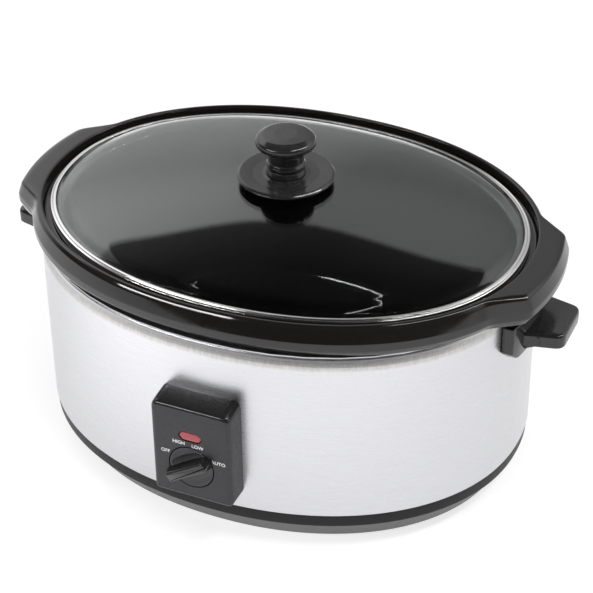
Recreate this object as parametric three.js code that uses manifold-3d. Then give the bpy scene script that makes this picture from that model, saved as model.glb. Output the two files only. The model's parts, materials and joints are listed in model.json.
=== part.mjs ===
// Oval slow cooker with a lift-out crock, a glass lid and a front dial.
// Millimetres, +Z up, +X to the right-hand handle, -Y towards the control panel.
import * as THREE from 'three';
import { mergeVertices } from 'three/addons/utils/BufferGeometryUtils.js';
import Module from 'manifold-3d';

const wasm = await Module();
wasm.setup();

// ---------------------------------------------------------------- driving sizes
const restGap = 0.3; // air left between two pieces that touch
const runGap = 0.35; // radial air round a shank, shaft or bush
const facetSag = 0.6; // how far a straight facet of an oval wall lies inside the true curve
const ovalPower = 2.11; // 2 is an ellipse, higher is squarer
const ovalSteps = 48;
const crockSteps = 72;
const knobSteps = 24;
const roundSteps = 16;
const screwSteps = 10;

// outer casing
const casingLength = 370;
const casingDepth = 297;
const casingBottom = 31.5;
const casingWallHeight = 128.7;
const shoulderHeight = 7;
const shoulderInset = 2.2;
const sheet = 0.8; // steel sheet of the casing and the heating well

// base
const footLift = 2.5; // plinth's clearance over the table
const plinthInset = 14; // at its bottom edge
const plinthDraft = 7.5;
const tierHeight = 10.2;
const tierInset = 1;
const baseWall = 3;
const baseFlangeWidth = 20;
const baseFlangeThick = 5.5;
const footRadius = 7.5;
const footRecess = 3;
const footAngle = 42;
const footScrewSeat = 3.8; // height of the screw head's seat inside a foot

// crock and lid
const crockSpread = 45; // how much longer than deep each half of the crock is
const lipHalfDepth = 147.3;
const lipHeight = 23;
const rimWidth = 8.4;
const recessDepth = 9;
const lugReach = 13.5; // past the oval end of the lip
const lugHalfWidth = 44;
const lugRoot = 60; // half width where the lug leaves the oval
const crockWall = 7;
const crockLift = 12.1; // crock's underside over the casing's lower edge
const crockTaper = 9;
const crockCorner = 24;
const ledgeWidth = 15;
const wellGap = 4.5;
const wellFloorGap = 4;
const lidGap = 5.2; // all round the lid in the crock's recess
const lidBandHeight = 6.7;
const lidBandLap = 4.2;
const glassThick = 4;
const glassRise = 25;
const glassShoulder = 12; // width of the steep outer part
const glassShoulderRise = 7.5;

// lid knob
const knobHeadRadius = 21.7;
const knobNeckRadius = 13.4;
const knobHeight = 31;
const skirtRadius = 35.8;
const skirtThick = 4;
const lidScrewRadius = 2.2;
const washerThick = 1.1;
const washerRadius = 9;
const sealRadius = 12;
const lidScrewHeadRadius = 4.6;

// side handles
const handleReach = 33; // from the casing's end
const handleRootHalf = 28;
const handleTipHalf = 20.5;
const handleDrop = 11; // handle's top under its mount's top
const handleLip = 11;
const handleSkin = 3.4;
const handleCorner = 6;
const mountHalf = 41;
const mountHeight = 28.5;
const mountDrop = 7.7; // mount's top under the casing's top
const mountThick = 8;
const gussetThick = 4;
const gussetReach = 9;

// control panel and dial
const panelWidth = 60;
const panelProud = 18;
const panelHeight = 80.7;
const panelLift = 13.5; // panel's lower edge over the casing's lower edge
const panelTopSlope = 0.8;
const panelChinHeight = 2;
const panelCorner = 6;
const panelWall = 2.5;
const dialRise = 28.4; // dial's centre over the panel's lower edge
const dialRadius = 16.7;
const dialWell = 4; // depth of the round well in the panel that the dial sits in
const dialMargin = 0.8; // air round the dial in its well
const dialLift = 0.8; // air under the dial
const dialProud = 0.4; // how far the dial's face stands out of the panel
const gripLength = 40;
const gripWidth = 10;
const gripHeight = 7;
const gripRound = 2;
const dialRestAngle = 32; // degrees up from +X, seen from the front
const shaftRadius = 3;
const bushRadius = 4.6;
const bushProud = 2.6; // how far the switch's bush stands out of the well's floor
const nutRadius = 7;
const nutThick = 1.9;
const lensRise = 9.4; // lens's centre over the dial's rim
const lensWidth = 18.4;
const lensTall = 6.8;

// fasteners and inner pieces
const screwRadius = 1.75;
const screwHeadRadius = 3.8;
const screwHeadThick = 2.4;
const heaterLift = 12.4; // heater's terminal over the well's floor
const heaterDrop = 57.2; // heater's upper edge under the casing's top
const heaterThick = 1.2;
const woolLift = 30.4; // wool's lower edge over the well's floor
const woolDrop = 37.2; // wool's upper edge under the casing's top
const woolThick = 6.5;
const leadRadius = 1.3;
const heaterTerminalX = 60;
const heaterTerminalHalf = 12;
const heaterTerminalTall = 13.5;
const heaterTerminalThick = 4.5;
const thermostatRadius = 9;
const thermostatThick = 9;
const thermostatPlace = [62, -12];
const fusePlace = [-58, 20];
const fuseRadius = 2.6;
const fuseHalf = 9;
const studNutRadius = 6;
const studNutThick = 3.2;
const blockPlace = [0, 78];
const blockHalfLength = 17;
const blockHalfDepth = 8;
const blockHeight = 13;
const blockPitch = 11; // between the terminal block's wells
const switchHalf = 14;
const lampHalf = 9;
const lampHalfHeight = 4.5;
const lampThick = 9;

// ---------------------------------------------------------------- worked-out sizes
const casingSpread = (casingLength - casingDepth) / 2;
const casingHalf = casingDepth / 2;
const casingTop = casingBottom + casingWallHeight + shoulderHeight;
const plinthHalf = casingHalf - plinthInset;
const tierHalf = casingHalf - tierInset;
const tierTop = casingBottom - restGap;
const tierBottom = tierTop - tierHeight;
const baseFlangeTop = footLift + baseFlangeThick;
const baseFlangeInner = plinthHalf - baseFlangeWidth;
const basePlateBottom = baseFlangeTop + restGap;
const basePlateTop = basePlateBottom + 1;
const hemWidth = 5.5;
const wellFlangeTop = casingTop + restGap + sheet;
const lipBottom = wellFlangeTop + restGap;
const rimTop = lipBottom + lipHeight;
const ledge = rimTop - recessDepth;
const rimInner = lipHalfDepth - rimWidth;
const cavityTopHalf = rimInner - ledgeWidth - 3;
const crockTopHalf = cavityTopHalf + crockWall + 1;
const crockBottom = casingBottom + crockLift;
const crockFloor = crockBottom + crockWall;
const wellHalf = crockTopHalf + wellGap;
const wellFloor = crockBottom - wellFloorGap;
const wellUnder = wellFloor - sheet;
const heaterBottom = wellFloor + heaterLift;
const heaterTop = casingTop - heaterDrop;
const woolBottom = wellFloor + woolLift;
const woolTop = casingTop - woolDrop;
const mountTop = casingTop - mountDrop;
const mountBottom = mountTop - mountHeight;
const handleTop = mountTop - handleDrop;
const panelBottom = casingBottom + panelLift;
const panelTop = panelBottom + panelHeight;
const dialHeight = panelBottom + dialRise;
const lensHeight = dialHeight + dialRadius + lensRise;
const lidHalf = rimInner - lidGap;
const lidBottom = ledge + restGap;
const lidBandTop = lidBottom + lidBandHeight;
const glassEdgeTop = lidBandTop - sheet - restGap;
const glassEdgeBottom = lidBottom + sheet + restGap;
const glassEdgeHalf = lidHalf - sheet - restGap;
const glassTop = lidBandTop + glassRise;
const panelFace = -(casingHalf + panelProud);
const wellFace = panelFace + dialWell; // floor of the dial's well
const switchFront = wellFace + panelWall + restGap;
const endX = casingLength / 2;

// ---------------------------------------------------------------- shape helpers
const paint = (color, roughness, metalness) =>
  new THREE.MeshStandardMaterial({ color, roughness, metalness });
const satinSteel = () => paint(0xc9cbd0, 0.32, 1);
const plainSteel = () => paint(0xa9abae, 0.45, 1);
const charcoal = () => paint(0x414144, 0.5, 0);
const phenolic = () => paint(0x101012, 0.18, 0);
const glazed = () => paint(0x0d0d0f, 0.1, 0);
const rubber = () => paint(0x1c1c1d, 0.9, 0);

// Welds a geometry into one closed shell whose faces point outwards.
function weld(geometry) {
  const plain = geometry.clone();
  plain.deleteAttribute('normal');
  plain.deleteAttribute('uv');
  const merged = mergeVertices(plain, 1e-4);
  const faces = [];
  const index = merged.index.array;
  for (let i = 0; i < index.length; i += 3) {
    const [a, b, c] = [index[i], index[i + 1], index[i + 2]];
    if (a !== b && b !== c && c !== a) faces.push([a, b, c]);
  }
  const at = (i) => new THREE.Vector3().fromBufferAttribute(merged.attributes.position, i);
  const volume = faces.reduce((sum, [a, b, c]) => sum + at(a).dot(at(b).cross(at(c))), 0);
  const turned = volume < 0 ? faces.map(([a, b, c]) => [a, c, b]) : faces;
  merged.setIndex(turned.flat());
  return merged;
}

function toManifold(geometry) {
  const shell = weld(geometry);
  return new wasm.Manifold(new wasm.Mesh({
    numProp: 3,
    vertProperties: new Float32Array(shell.attributes.position.array),
    triVerts: new Uint32Array(shell.index.array),
  }));
}

function fromManifold(solid) {
  const mesh = solid.getMesh();
  const geometry = new THREE.BufferGeometry();
  geometry.setAttribute('position', new THREE.BufferAttribute(mesh.vertProperties, 3));
  geometry.setIndex(new THREE.BufferAttribute(mesh.triVerts, 1));
  return geometry;
}

const join = (...shapes) => fromManifold(shapes.map(toManifold).reduce((a, b) => a.add(b)));
const common = (...shapes) => fromManifold(shapes.map(toManifold).reduce((a, b) => a.intersect(b)));
const cut = (shape, ...tools) =>
  fromManifold(tools.map(toManifold).reduce((a, b) => a.subtract(b), toManifold(shape)));

// Round piece about +Z from [radius, height] points.
function turned(profile, steps = roundSteps) {
  const points = profile.map(([r, z]) => new THREE.Vector2(r, z));
  return weld(new THREE.LatheGeometry(points, steps).rotateX(Math.PI / 2));
}

// Oval piece from [half depth, height, spread] points: each half length is half depth + spread.
function oval(profile, spread, steps = ovalSteps) {
  const points = profile.map(([b, z]) => new THREE.Vector2(b, z));
  const geometry = new THREE.LatheGeometry(points, steps);
  const position = geometry.attributes.position;
  for (let i = 0; i < position.count; i += 1) {
    const [b, z, own = spread] = profile[i % profile.length];
    const angle = 2 * Math.PI * Math.floor(i / profile.length) / steps;
    const [x, y] = ovalPoint(angle, b, b > 0 ? own : 0);
    position.setXYZ(i, x, y, z);
  }
  return weld(geometry);
}

function ovalPoint(angle, halfDepth, spread) {
  const bend = (v) => Math.sign(v) * Math.abs(v) ** (2 / ovalPower);
  const clean = (v) => (Math.abs(v) < 1e-9 ? 0 : v);
  const c = clean(Math.cos(angle));
  const s = clean(Math.sin(angle));
  return [(halfDepth + spread) * bend(c), halfDepth * bend(s)];
}

// Half length of an oval at a given distance from its long axis.
function ovalX(y, halfDepth, spread) {
  return (halfDepth + spread) * (1 - (Math.abs(y) / halfDepth) ** ovalPower) ** (1 / ovalPower);
}

// Points of a round corner in a profile, from one angle to another in degrees.
function arc(cx, cz, radius, from, to, steps) {
  return Array.from({ length: steps + 1 }, (_, i) => {
    const angle = THREE.MathUtils.degToRad(from + (to - from) * i / steps);
    return [cx + radius * Math.cos(angle), cz + radius * Math.sin(angle)];
  });
}

// Round bar along +Z, from one height to another.
function bar(radius, from, to, steps = roundSteps) {
  const geometry = new THREE.CylinderGeometry(radius, radius, to - from, steps);
  return geometry.rotateX(Math.PI / 2).translate(0, 0, (from + to) / 2);
}

const barX = (radius, from, to, y, z) =>
  bar(radius, from, to, screwSteps).rotateY(Math.PI / 2).translate(0, y, z);
const barY = (radius, from, to, x, z) =>
  bar(radius, from, to, roundSteps).rotateX(-Math.PI / 2).translate(x, 0, z);

function block(x0, x1, y0, y1, z0, z1) {
  const geometry = new THREE.BoxGeometry(x1 - x0, y1 - y0, z1 - z0);
  return geometry.translate((x0 + x1) / 2, (y0 + y1) / 2, (z0 + z1) / 2);
}

// Outline of straight sides with rounded corners, each corner given as [x, y, radius].
function outline(corners) {
  const shape = new THREE.Shape();
  corners.forEach(([x, y, radius], i) => {
    const here = new THREE.Vector2(x, y);
    const [px, py] = corners[(i + corners.length - 1) % corners.length];
    const [nx, ny] = corners[(i + 1) % corners.length];
    const back = new THREE.Vector2(px, py).sub(here).setLength(radius).add(here);
    const ahead = new THREE.Vector2(nx, ny).sub(here).setLength(radius).add(here);
    if (i === 0) shape.moveTo(back.x, back.y);
    else shape.lineTo(back.x, back.y);
    shape.quadraticCurveTo(x, y, ahead.x, ahead.y);
  });
  shape.closePath();
  return shape;
}

const slab = (shape, depth, options = {}) =>
  new THREE.ExtrudeGeometry(shape, { depth, bevelEnabled: false, curveSegments: 3, ...options });
const frontView = (geometry) => geometry.rotateX(Math.PI / 2);
const sideView = (geometry) => geometry.rotateX(Math.PI / 2).rotateZ(Math.PI / 2);

// A screw along +Z with its head below: [head bottom .. head top] then the shank.
function screw(headBottom, shankTop, headRadius = screwHeadRadius, radius = screwRadius) {
  const headTop = headBottom + screwHeadThick;
  const crown = headRadius * 0.72;
  return turned([[0, headBottom], [crown, headBottom], [headRadius, headBottom + 0.9],
    [headRadius, headTop], [radius, headTop], [radius, shankTop - 0.8], [radius - 0.6, shankTop],
    [0, shankTop]], screwSteps);
}

const cooker = new THREE.Group();
function piece(name, geometry, material, parent = cooker) {
  const mesh = new THREE.Mesh(weld(geometry), material);
  mesh.name = name;
  parent.add(mesh);
  return mesh;
}

// ---------------------------------------------------------------- places shared by pieces
const footPlaces = [footAngle, 180 - footAngle, 180 + footAngle, 360 - footAngle].map((degrees) =>
  ovalPoint(THREE.MathUtils.degToRad(degrees), plinthHalf - baseFlangeWidth / 2, casingSpread));
const handleScrewY = 24;
const handleScrewZ = (mountBottom + mountTop) / 2;
const panelScrewHeights = [panelTop - 11, panelBottom + 7.5];
const panelBossRadius = 4.6;
const windowHalf = 20;
const windowBottom = dialHeight - 17;
const windowTop = lensHeight + 5;
const glandHeight = 50;
const glandRadius = 7;
const studRadius = 3;
const earthPlace = [70, 62];
const holeLength = 30; // of a drill through the casing's end

// ---------------------------------------------------------------- outer casing
function outerCasing() {
  const half = casingHalf;
  const wallTop = casingBottom + casingWallHeight;
  const shoulder = (t, offset) => {
    const angle = t * Math.PI / 2;
    const out = half - shoulderInset * (1 - Math.cos(angle)) - offset * Math.cos(angle);
    return [out, wallTop + (shoulderHeight - 0.01) * Math.sin(angle) - offset * Math.sin(angle)];
  };
  const steps = [0, 0.33, 0.67, 1];
  const lap = wellHalf + sheet + restGap;
  const shell = oval([
    [half - hemWidth, casingBottom], [half, casingBottom],
    ...steps.map((t) => shoulder(t, 0)),
    [lap, casingTop, crockSpread], [lap, casingTop - sheet, crockSpread],
    ...steps.map((t) => shoulder(t, sheet)).reverse(),
    [half - sheet, casingBottom + sheet], [half - hemWidth, casingBottom + sheet],
    [half - hemWidth, casingBottom],
  ], casingSpread);
  const handleHoles = [-1, 1].flatMap((end) => [-handleScrewY, handleScrewY].map((y) =>
    barX(screwRadius + runGap, -holeLength / 2, holeLength / 2, y, handleScrewZ)
      .translate(end * endX, 0, 0)));
  const panelHoles = panelScrewHeights.map((z) =>
    barY(screwRadius + runGap, -half - 2, -half + 4, 0, z));
  const window = block(-windowHalf, windowHalf, -half - 2, -half + 6, windowBottom, windowTop);
  const cordHole = barY(glandRadius + runGap, half - 4, half + 2, 0, glandHeight);
  return cut(shell, window, cordHole, ...handleHoles, ...panelHoles);
}
piece('outer_casing', outerCasing(), satinSteel());

// ---------------------------------------------------------------- base
function baseHousing() {
  const wallAtTier = plinthHalf + plinthDraft;
  const lipOuter = casingHalf - hemWidth - restGap;
  const shell = oval([
    [baseFlangeInner, footLift], [plinthHalf - 1.5, footLift], [plinthHalf, footLift + 1.5],
    [wallAtTier, tierBottom], [tierHalf - 1, tierBottom], [tierHalf, tierBottom + 1],
    [tierHalf, tierTop - 0.6], [tierHalf - 0.6, tierTop], [lipOuter, tierTop],
    [lipOuter, tierTop + 6], [lipOuter - baseWall, tierTop + 6], [lipOuter - baseWall, tierTop],
    [wallAtTier - baseWall, tierBottom], [plinthHalf - baseWall, baseFlangeTop],
    [baseFlangeInner, baseFlangeTop], [baseFlangeInner, footLift],
  ], casingSpread);
  const recesses = footPlaces.map(([x, y]) =>
    bar(footRadius + runGap, footLift - 1, footLift + footRecess).translate(x, y, 0));
  const holes = footPlaces.map(([x, y]) =>
    bar(screwRadius + runGap, footLift, baseFlangeTop + 1, screwSteps).translate(x, y, 0));
  return cut(shell, ...recesses, ...holes);
}
piece('base_housing', baseHousing(), charcoal());

function basePlate() {
  const shell = oval([[0, basePlateBottom], [baseFlangeInner + 14, basePlateBottom],
    [baseFlangeInner + 14, basePlateTop], [0, basePlateTop]], casingSpread);
  const holes = footPlaces.map(([x, y]) =>
    bar(screwRadius + runGap, basePlateBottom - 1, basePlateTop + 1, screwSteps).translate(x, y, 0));
  const studHole = bar(studRadius + runGap, basePlateBottom - 1, basePlateTop + 1, screwSteps);
  const earthHole = bar(screwRadius + runGap, basePlateBottom - 1, basePlateTop + 1, screwSteps)
    .translate(...earthPlace, 0);
  return cut(shell, studHole, earthHole, ...holes);
}
piece('base_plate', basePlate(), plainSteel());

const footBore = screwHeadRadius + 0.5;
footPlaces.forEach(([x, y], i) => {
  const foot = turned([[screwRadius + runGap, footLift + footRecess - restGap],
    [screwRadius + runGap, footScrewSeat], [footBore, footScrewSeat], [footBore, 0],
    [footRadius - 1, 0], [footRadius, 1], [footRadius, footLift + footRecess - restGap],
    [screwRadius + runGap, footLift + footRecess - restGap]], screwSteps);
  piece(`foot_${i + 1}`, foot.translate(x, y, 0), rubber());
  const fixing = screw(footScrewSeat - restGap - screwHeadThick, basePlateTop + 3);
  piece(`foot_screw_${i + 1}`, fixing.translate(x, y, 0), plainSteel());
});

// ---------------------------------------------------------------- heating well and what hangs on it
function heatingWell() {
  const flangeOuter = casingHalf - shoulderInset + 0.4;
  const bottomHalf = wellHalf - crockTaper;
  const corner = crockCorner + 2;
  const outer = wellHalf + sheet;
  const flangeBottom = wellFlangeTop - sheet;
  const inner = arc(bottomHalf - corner, wellFloor + corner, corner, -90, 0, 4);
  const under = arc(bottomHalf - corner, wellFloor + corner, corner + sheet, 0, -90, 4);
  return oval([
    [0, wellFloor], ...inner, [wellHalf, casingTop - 14], [wellHalf, wellFlangeTop],
    [flangeOuter, wellFlangeTop, casingSpread], [flangeOuter, flangeBottom, casingSpread],
    [outer, flangeBottom], [outer, casingTop - 14], ...under, [0, wellUnder],
  ], crockSpread);
}
piece('heating_well', heatingWell(), plainSteel());

// Half depth of the well's outer face at a height on its straight wall.
const wellOuterAt = (z) => {
  const low = wellFloor + crockCorner + 2;
  const share = THREE.MathUtils.clamp((z - low) / (casingTop - 14 - low), 0, 1);
  return wellHalf + sheet - crockTaper * (1 - share);
};

function wrap(from, to, gap, thick, spreadOut = crockSpread) {
  return oval([
    [wellOuterAt(from) + gap, from], [wellOuterAt(from) + gap + thick, from, spreadOut],
    [wellOuterAt(to) + gap + thick, to, spreadOut], [wellOuterAt(to) + gap, to],
    [wellOuterAt(from) + gap, from],
  ], crockSpread);
}
piece('heater_band', wrap(heaterBottom + 12, heaterTop, restGap, heaterThick), paint(0x8f8f8a, 0.6, 1));
piece('wool_wrap', wrap(woolBottom, woolTop, restGap * 2 + heaterThick, woolThick, crockSpread - 4.5),
  paint(0xe4dcc4, 0.95, 0));

const terminalBottom = heaterBottom - 2;
const terminalTop = terminalBottom + heaterTerminalTall;
function heaterTerminal() {
  const holder = block(heaterTerminalX - heaterTerminalHalf, heaterTerminalX + heaterTerminalHalf,
    wellHalf / 2, casingHalf, terminalBottom, terminalTop);
  return common(wrap(terminalBottom, terminalTop, restGap, heaterTerminalThick), holder);
}
piece('heater_terminal', heaterTerminal(), paint(0xd8d2c0, 0.6, 0));

const studTop = wellUnder - restGap;
piece('well_stud', turned([[0, 4], [studRadius, 4], [studRadius, studTop - 1.4],
  [studRadius + 5, studTop - 1.4], [studRadius + 5, studTop], [0, studTop]], 20), plainSteel());
const nutTop = basePlateBottom - restGap;
function studNut() {
  const hexagon = new THREE.CylinderGeometry(studNutRadius, studNutRadius, studNutThick, 6);
  return cut(hexagon.rotateX(Math.PI / 2).translate(0, 0, nutTop - studNutThick / 2),
    bar(studRadius + runGap, 0, nutTop + 1, 20));
}
piece('stud_nut', studNut(), plainSteel());

const underWell = wellUnder - restGap;
const thermostatStep = underWell - thermostatThick * 2 / 3;
piece('thermostat', turned([[0, underWell - thermostatThick], [4, underWell - thermostatThick],
  [4, thermostatStep], [thermostatRadius, thermostatStep], [thermostatRadius, underWell],
  [0, underWell]]).translate(...thermostatPlace, 0), paint(0x3a3a3c, 0.5, 0));
function thermalFuse() {
  const body = bar(fuseRadius, -fuseHalf, fuseHalf, 16).rotateY(Math.PI / 2);
  const clip = block(-4, 4, -4.5, 4.5, 1.2, 2.9);
  return join(body, clip);
}
piece('thermal_fuse', thermalFuse().translate(...fusePlace, underWell - 2.9), paint(0xb9b4a6, 0.5, 0));

// ---------------------------------------------------------------- wiring
const blockTop = basePlateTop + restGap + blockHeight;
function terminalBlock() {
  const body = block(-blockHalfLength, blockHalfLength, -blockHalfDepth, blockHalfDepth,
    basePlateTop + restGap, blockTop);
  const wells = [-blockPitch, 0, blockPitch].map((x) =>
    bar(3.2, blockTop - 5, blockTop + 1, 14).translate(x, 0, 0));
  return cut(body, ...wells).translate(...blockPlace, 0);
}
piece('terminal_block', terminalBlock(), paint(0xe9e7df, 0.5, 0));
piece('earth_screw', screw(-basePlateTop - restGap - screwHeadThick, -basePlateBottom + 3)
  .rotateX(Math.PI).translate(...earthPlace, 0), paint(0xc2a24a, 0.35, 1));

const collar = sheet + restGap + facetSag;
const gland = turned([[3.7, -3], [8.8, -3], [9.6, -2.2], [9.6, -restGap], [glandRadius, -restGap],
  [glandRadius, collar], [8.6, collar], [8.2, collar + 2], [3.7, collar + 2], [3.7, -3]]);
piece('cord_gland', gland.rotateX(Math.PI / 2).translate(0, casingHalf, glandHeight), rubber());

function lead(points, material, name) {
  const path = new THREE.CatmullRomCurve3(points.map((p) => new THREE.Vector3(...p)));
  const round = new THREE.Shape().absarc(0, 0, leadRadius, 0, 2 * Math.PI);
  piece(name, new THREE.ExtrudeGeometry(round, { steps: 18, extrudePath: path, curveSegments: 2,
    bevelEnabled: false }), material);
}
const switchBack = -casingHalf + 3.5;
const blockY = blockPlace[1];
lead([[-blockPitch, blockY, blockTop - 4.5], [-blockPitch, blockY, blockTop + 1],
  [-13, blockY - 3, blockTop + 7], [-32, 50, blockTop + 6], [-48, -30, 27],
  [-30, -112, 27], [-14, -132, 36], [-12, -136.5, 52], [-10, -138, dialHeight - 6],
  [-10, switchBack + restGap, dialHeight - 6]], paint(0x6a4630, 0.6, 0), 'switch_lead');
lead([[blockPitch, blockY, blockTop - 4.5], [blockPitch, blockY, blockTop + 2],
  [15, blockY + 2, blockTop + 7], [34, 95, blockTop + 6], [56, 118, 34],
  [heaterTerminalX, 124, terminalBottom - restGap]],
paint(0x4a5f8a, 0.6, 0), 'heater_lead');

// ---------------------------------------------------------------- side handles
function sideHandle() {
  const near = casingHalf + restGap;
  const far = near + mountThick;
  const ring = oval([[near, mountBottom], [far - 1, mountBottom], [far, mountBottom + 1],
    [far, mountTop - 1.5], [far - 1.5, mountTop], [near, mountTop], [near, mountBottom]],
  casingSpread, 128);
  const face = outline([[-mountHalf, mountBottom + 7, 1], [-mountHalf + 6, mountBottom, 1],
    [mountHalf - 6, mountBottom, 1], [mountHalf, mountBottom + 7, 1], [mountHalf, mountTop, 1],
    [-mountHalf, mountTop, 1]]);
  const mount = common(ring, sideView(slab(face, 60)).translate(150, 0, 0));

  const rootX = endX + restGap;
  const tipX = endX + handleReach;
  const plan = (inset, root) => outline([
    [root, -handleRootHalf + inset, 0.5], [tipX - inset, -handleTipHalf + inset, handleCorner],
    [tipX - inset, handleTipHalf - inset, handleCorner], [root, handleRootHalf - inset, 0.5]]);
  const round = 3;
  const top = slab(plan(round, rootX), handleLip - round, { bevelEnabled: true,
    bevelSize: round, bevelThickness: round, bevelSegments: 4 })
    .translate(0, 0, handleTop - handleLip);
  const level = block(rootX - 20, tipX + 10, -60, 60, handleTop - handleLip, handleTop + 1);
  const hollow = slab(plan(handleSkin, endX + mountThick + 1), handleLip)
    .translate(0, 0, handleTop - handleLip - handleSkin);
  const rib = outline([[endX + mountThick - 2, mountBottom + 3, 0.4],
    [endX + mountThick + gussetReach, handleTop - handleLip + 2, 0.4],
    [endX + mountThick + gussetReach, handleTop - 2, 0.4],
    [endX + mountThick - 2, handleTop - 2, 0.4]]);
  const ribs = [-1, 1].map((side) => slab(rib, gussetThick).rotateX(Math.PI / 2)
    .translate(0, side * (handleRootHalf - 5) + gussetThick / 2, 0));
  const body = join(cut(common(top, level), hollow), mount, ...ribs);
  const inside = oval([[0, 100], [near, 100], [near, 190], [0, 190]], casingSpread, 128);
  const holes = [-handleScrewY, handleScrewY].map((y) =>
    barX(screwRadius + runGap, 150, ovalX(y, far, casingSpread) - 2, y, handleScrewZ));
  return cut(body, inside, ...holes);
}

[['right', 0], ['left', Math.PI]].forEach(([side, turn]) => {
  const end = new THREE.Group();
  end.rotation.z = turn;
  cooker.add(end);
  piece(`${side}_handle`, sideHandle(), phenolic(), end);
  [-handleScrewY, handleScrewY].forEach((y, i) => {
    const wallX = ovalX(Math.abs(y) + screwHeadRadius, casingHalf - sheet, casingSpread);
    const headBottom = wallX - facetSag - screwHeadThick;
    const tip = ovalX(y, casingHalf + restGap + mountThick, casingSpread) - 3;
    const fixing = screw(headBottom, tip).rotateY(Math.PI / 2).translate(0, y, handleScrewZ);
    piece(`${side}_handle_screw_${i + 1}`, fixing, plainSteel(), end);
  });
});

// ---------------------------------------------------------------- control panel
function panelBlock(inset, back) {
  const half = panelWidth / 2 - inset;
  const face = panelFace + inset;
  const radius = Math.max(panelCorner - inset, 1);
  const front = outline([[-half, panelBottom + inset, radius / 2],
    [half, panelBottom + inset, radius / 2], [half, panelTop - inset, radius],
    [-half, panelTop - inset, radius]]);
  const side = outline([[back, panelBottom + inset, 0.5],
    [face, panelBottom + inset + panelChinHeight, 2],
    [face, panelTop - inset - panelTopSlope, 2.5], [back, panelTop - inset, 0.5]]);
  const plan = outline([[-half, back, 0.5], [-half, face, radius * 0.8],
    [half, face, radius * 0.8], [half, back, 0.5]]);
  return common(
    frontView(slab(front, 60)).translate(0, back, 0),
    sideView(slab(side, panelWidth + 20)).translate(-panelWidth / 2 - 10, 0, 0),
    slab(plan, panelTop),
  );
}

const lensShape = (grow) => {
  const [w, h] = [lensWidth / 2 + grow, lensTall / 2 + grow];
  return outline([[-w, 0, 1], [-w + h, -h, 1], [w - h, -h, 1], [w, 0, 1], [w - h, h, 1],
    [-w + h, h, 1]]);
};
const lensBar = (grow, from, to) =>
  frontView(slab(lensShape(grow), to - from)).translate(0, to, lensHeight);

function controlPanel() {
  const back = -casingHalf + 4;
  const body = cut(panelBlock(0, back), panelBlock(panelWall, back + 5));
  const bosses = panelScrewHeights.map((z) =>
    barY(panelBossRadius, panelFace + 1.5, back, 0, z));
  const casingPlug = oval([[0, 20], [casingHalf + restGap, 20], [casingHalf + restGap, 140],
    [0, 140]], casingSpread);
  const threads = panelScrewHeights.map((z) =>
    barY(screwRadius + runGap, panelFace + panelWall + 1, 0, 0, z));
  const wellRadius = dialRadius + dialMargin;
  const cup = barY(wellRadius + panelWall, panelFace + 1, wellFace + panelWall, 0, dialHeight);
  const well = barY(wellRadius, panelFace - 1, wellFace, 0, dialHeight);
  const bushHole = barY(bushRadius + runGap, panelFace - 1, switchFront + 1, 0, dialHeight);
  const lensHole = lensBar(runGap, panelFace - 1, panelFace + panelWall + 1);
  return cut(join(body, cup, ...bosses), casingPlug, well, bushHole, lensHole, ...threads);
}
piece('control_panel', controlPanel(), charcoal());

panelScrewHeights.forEach((z, i) => {
  const headBottom = casingHalf - sheet - restGap - screwHeadThick;
  const fixing = screw(headBottom, -panelFace - panelWall - 2);
  piece(`panel_screw_${i + 1}`, fixing.rotateX(Math.PI / 2).translate(0, 0, z), plainSteel());
});

// indicator
const lensBack = panelFace + panelWall + 2;
function indicatorLens() {
  const rim = lensBar(1, panelFace + panelWall + restGap, lensBack);
  return join(lensBar(0, panelFace + 0.6, lensBack), rim);
}
piece('indicator_lens', indicatorLens(), paint(0xa8262e, 0.25, 0));
function lampHolder() {
  const front = lensBack + restGap;
  const back = front + lampThick;
  const body = block(-lampHalf, lampHalf, front, back, lensHeight - lampHalfHeight,
    lensHeight + lampHalfHeight);
  const pins = [-1, 1].map((end) => block(end * 5 - 1, end * 5 + 1, back - 1, back + 4,
    lensHeight - 2.4, lensHeight + 2.4));
  return join(body, ...pins);
}
piece('lamp_holder', lampHolder(), paint(0xd9d4c8, 0.5, 0));

// switch, shaft and dial knob
function switchBody() {
  const body = block(-switchHalf, switchHalf, switchFront, switchBack, dialHeight - switchHalf,
    dialHeight + switchHalf);
  const bush = barY(bushRadius, wellFace - bushProud, switchFront + 2, 0, dialHeight);
  const bore = barY(shaftRadius + runGap, wellFace - bushProud - 1, switchBack - 4, 0, dialHeight);
  return cut(join(body, bush), bore);
}
piece('switch_body', switchBody(), paint(0x2b2b2d, 0.5, 0));
function switchNut() {
  const ring = barY(nutRadius, wellFace - restGap - nutThick, wellFace - restGap, 0, dialHeight);
  return cut(ring, barY(bushRadius + runGap, wellFace - dialWell, wellFace, 0, dialHeight));
}
piece('switch_nut', switchNut(), plainSteel());

const dial = new THREE.Group();
dial.position.set(0, panelFace, dialHeight);
dial.rotation.y = -THREE.MathUtils.degToRad(dialRestAngle);
cooker.add(dial);
const shaftFront = 4.5; // past the panel's face, inside the grip
const shaftBack = panelProud - 1.5;
piece('selector_shaft', barY(shaftRadius, -shaftFront, shaftBack, 0, 0), plainSteel(), dial);

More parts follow.
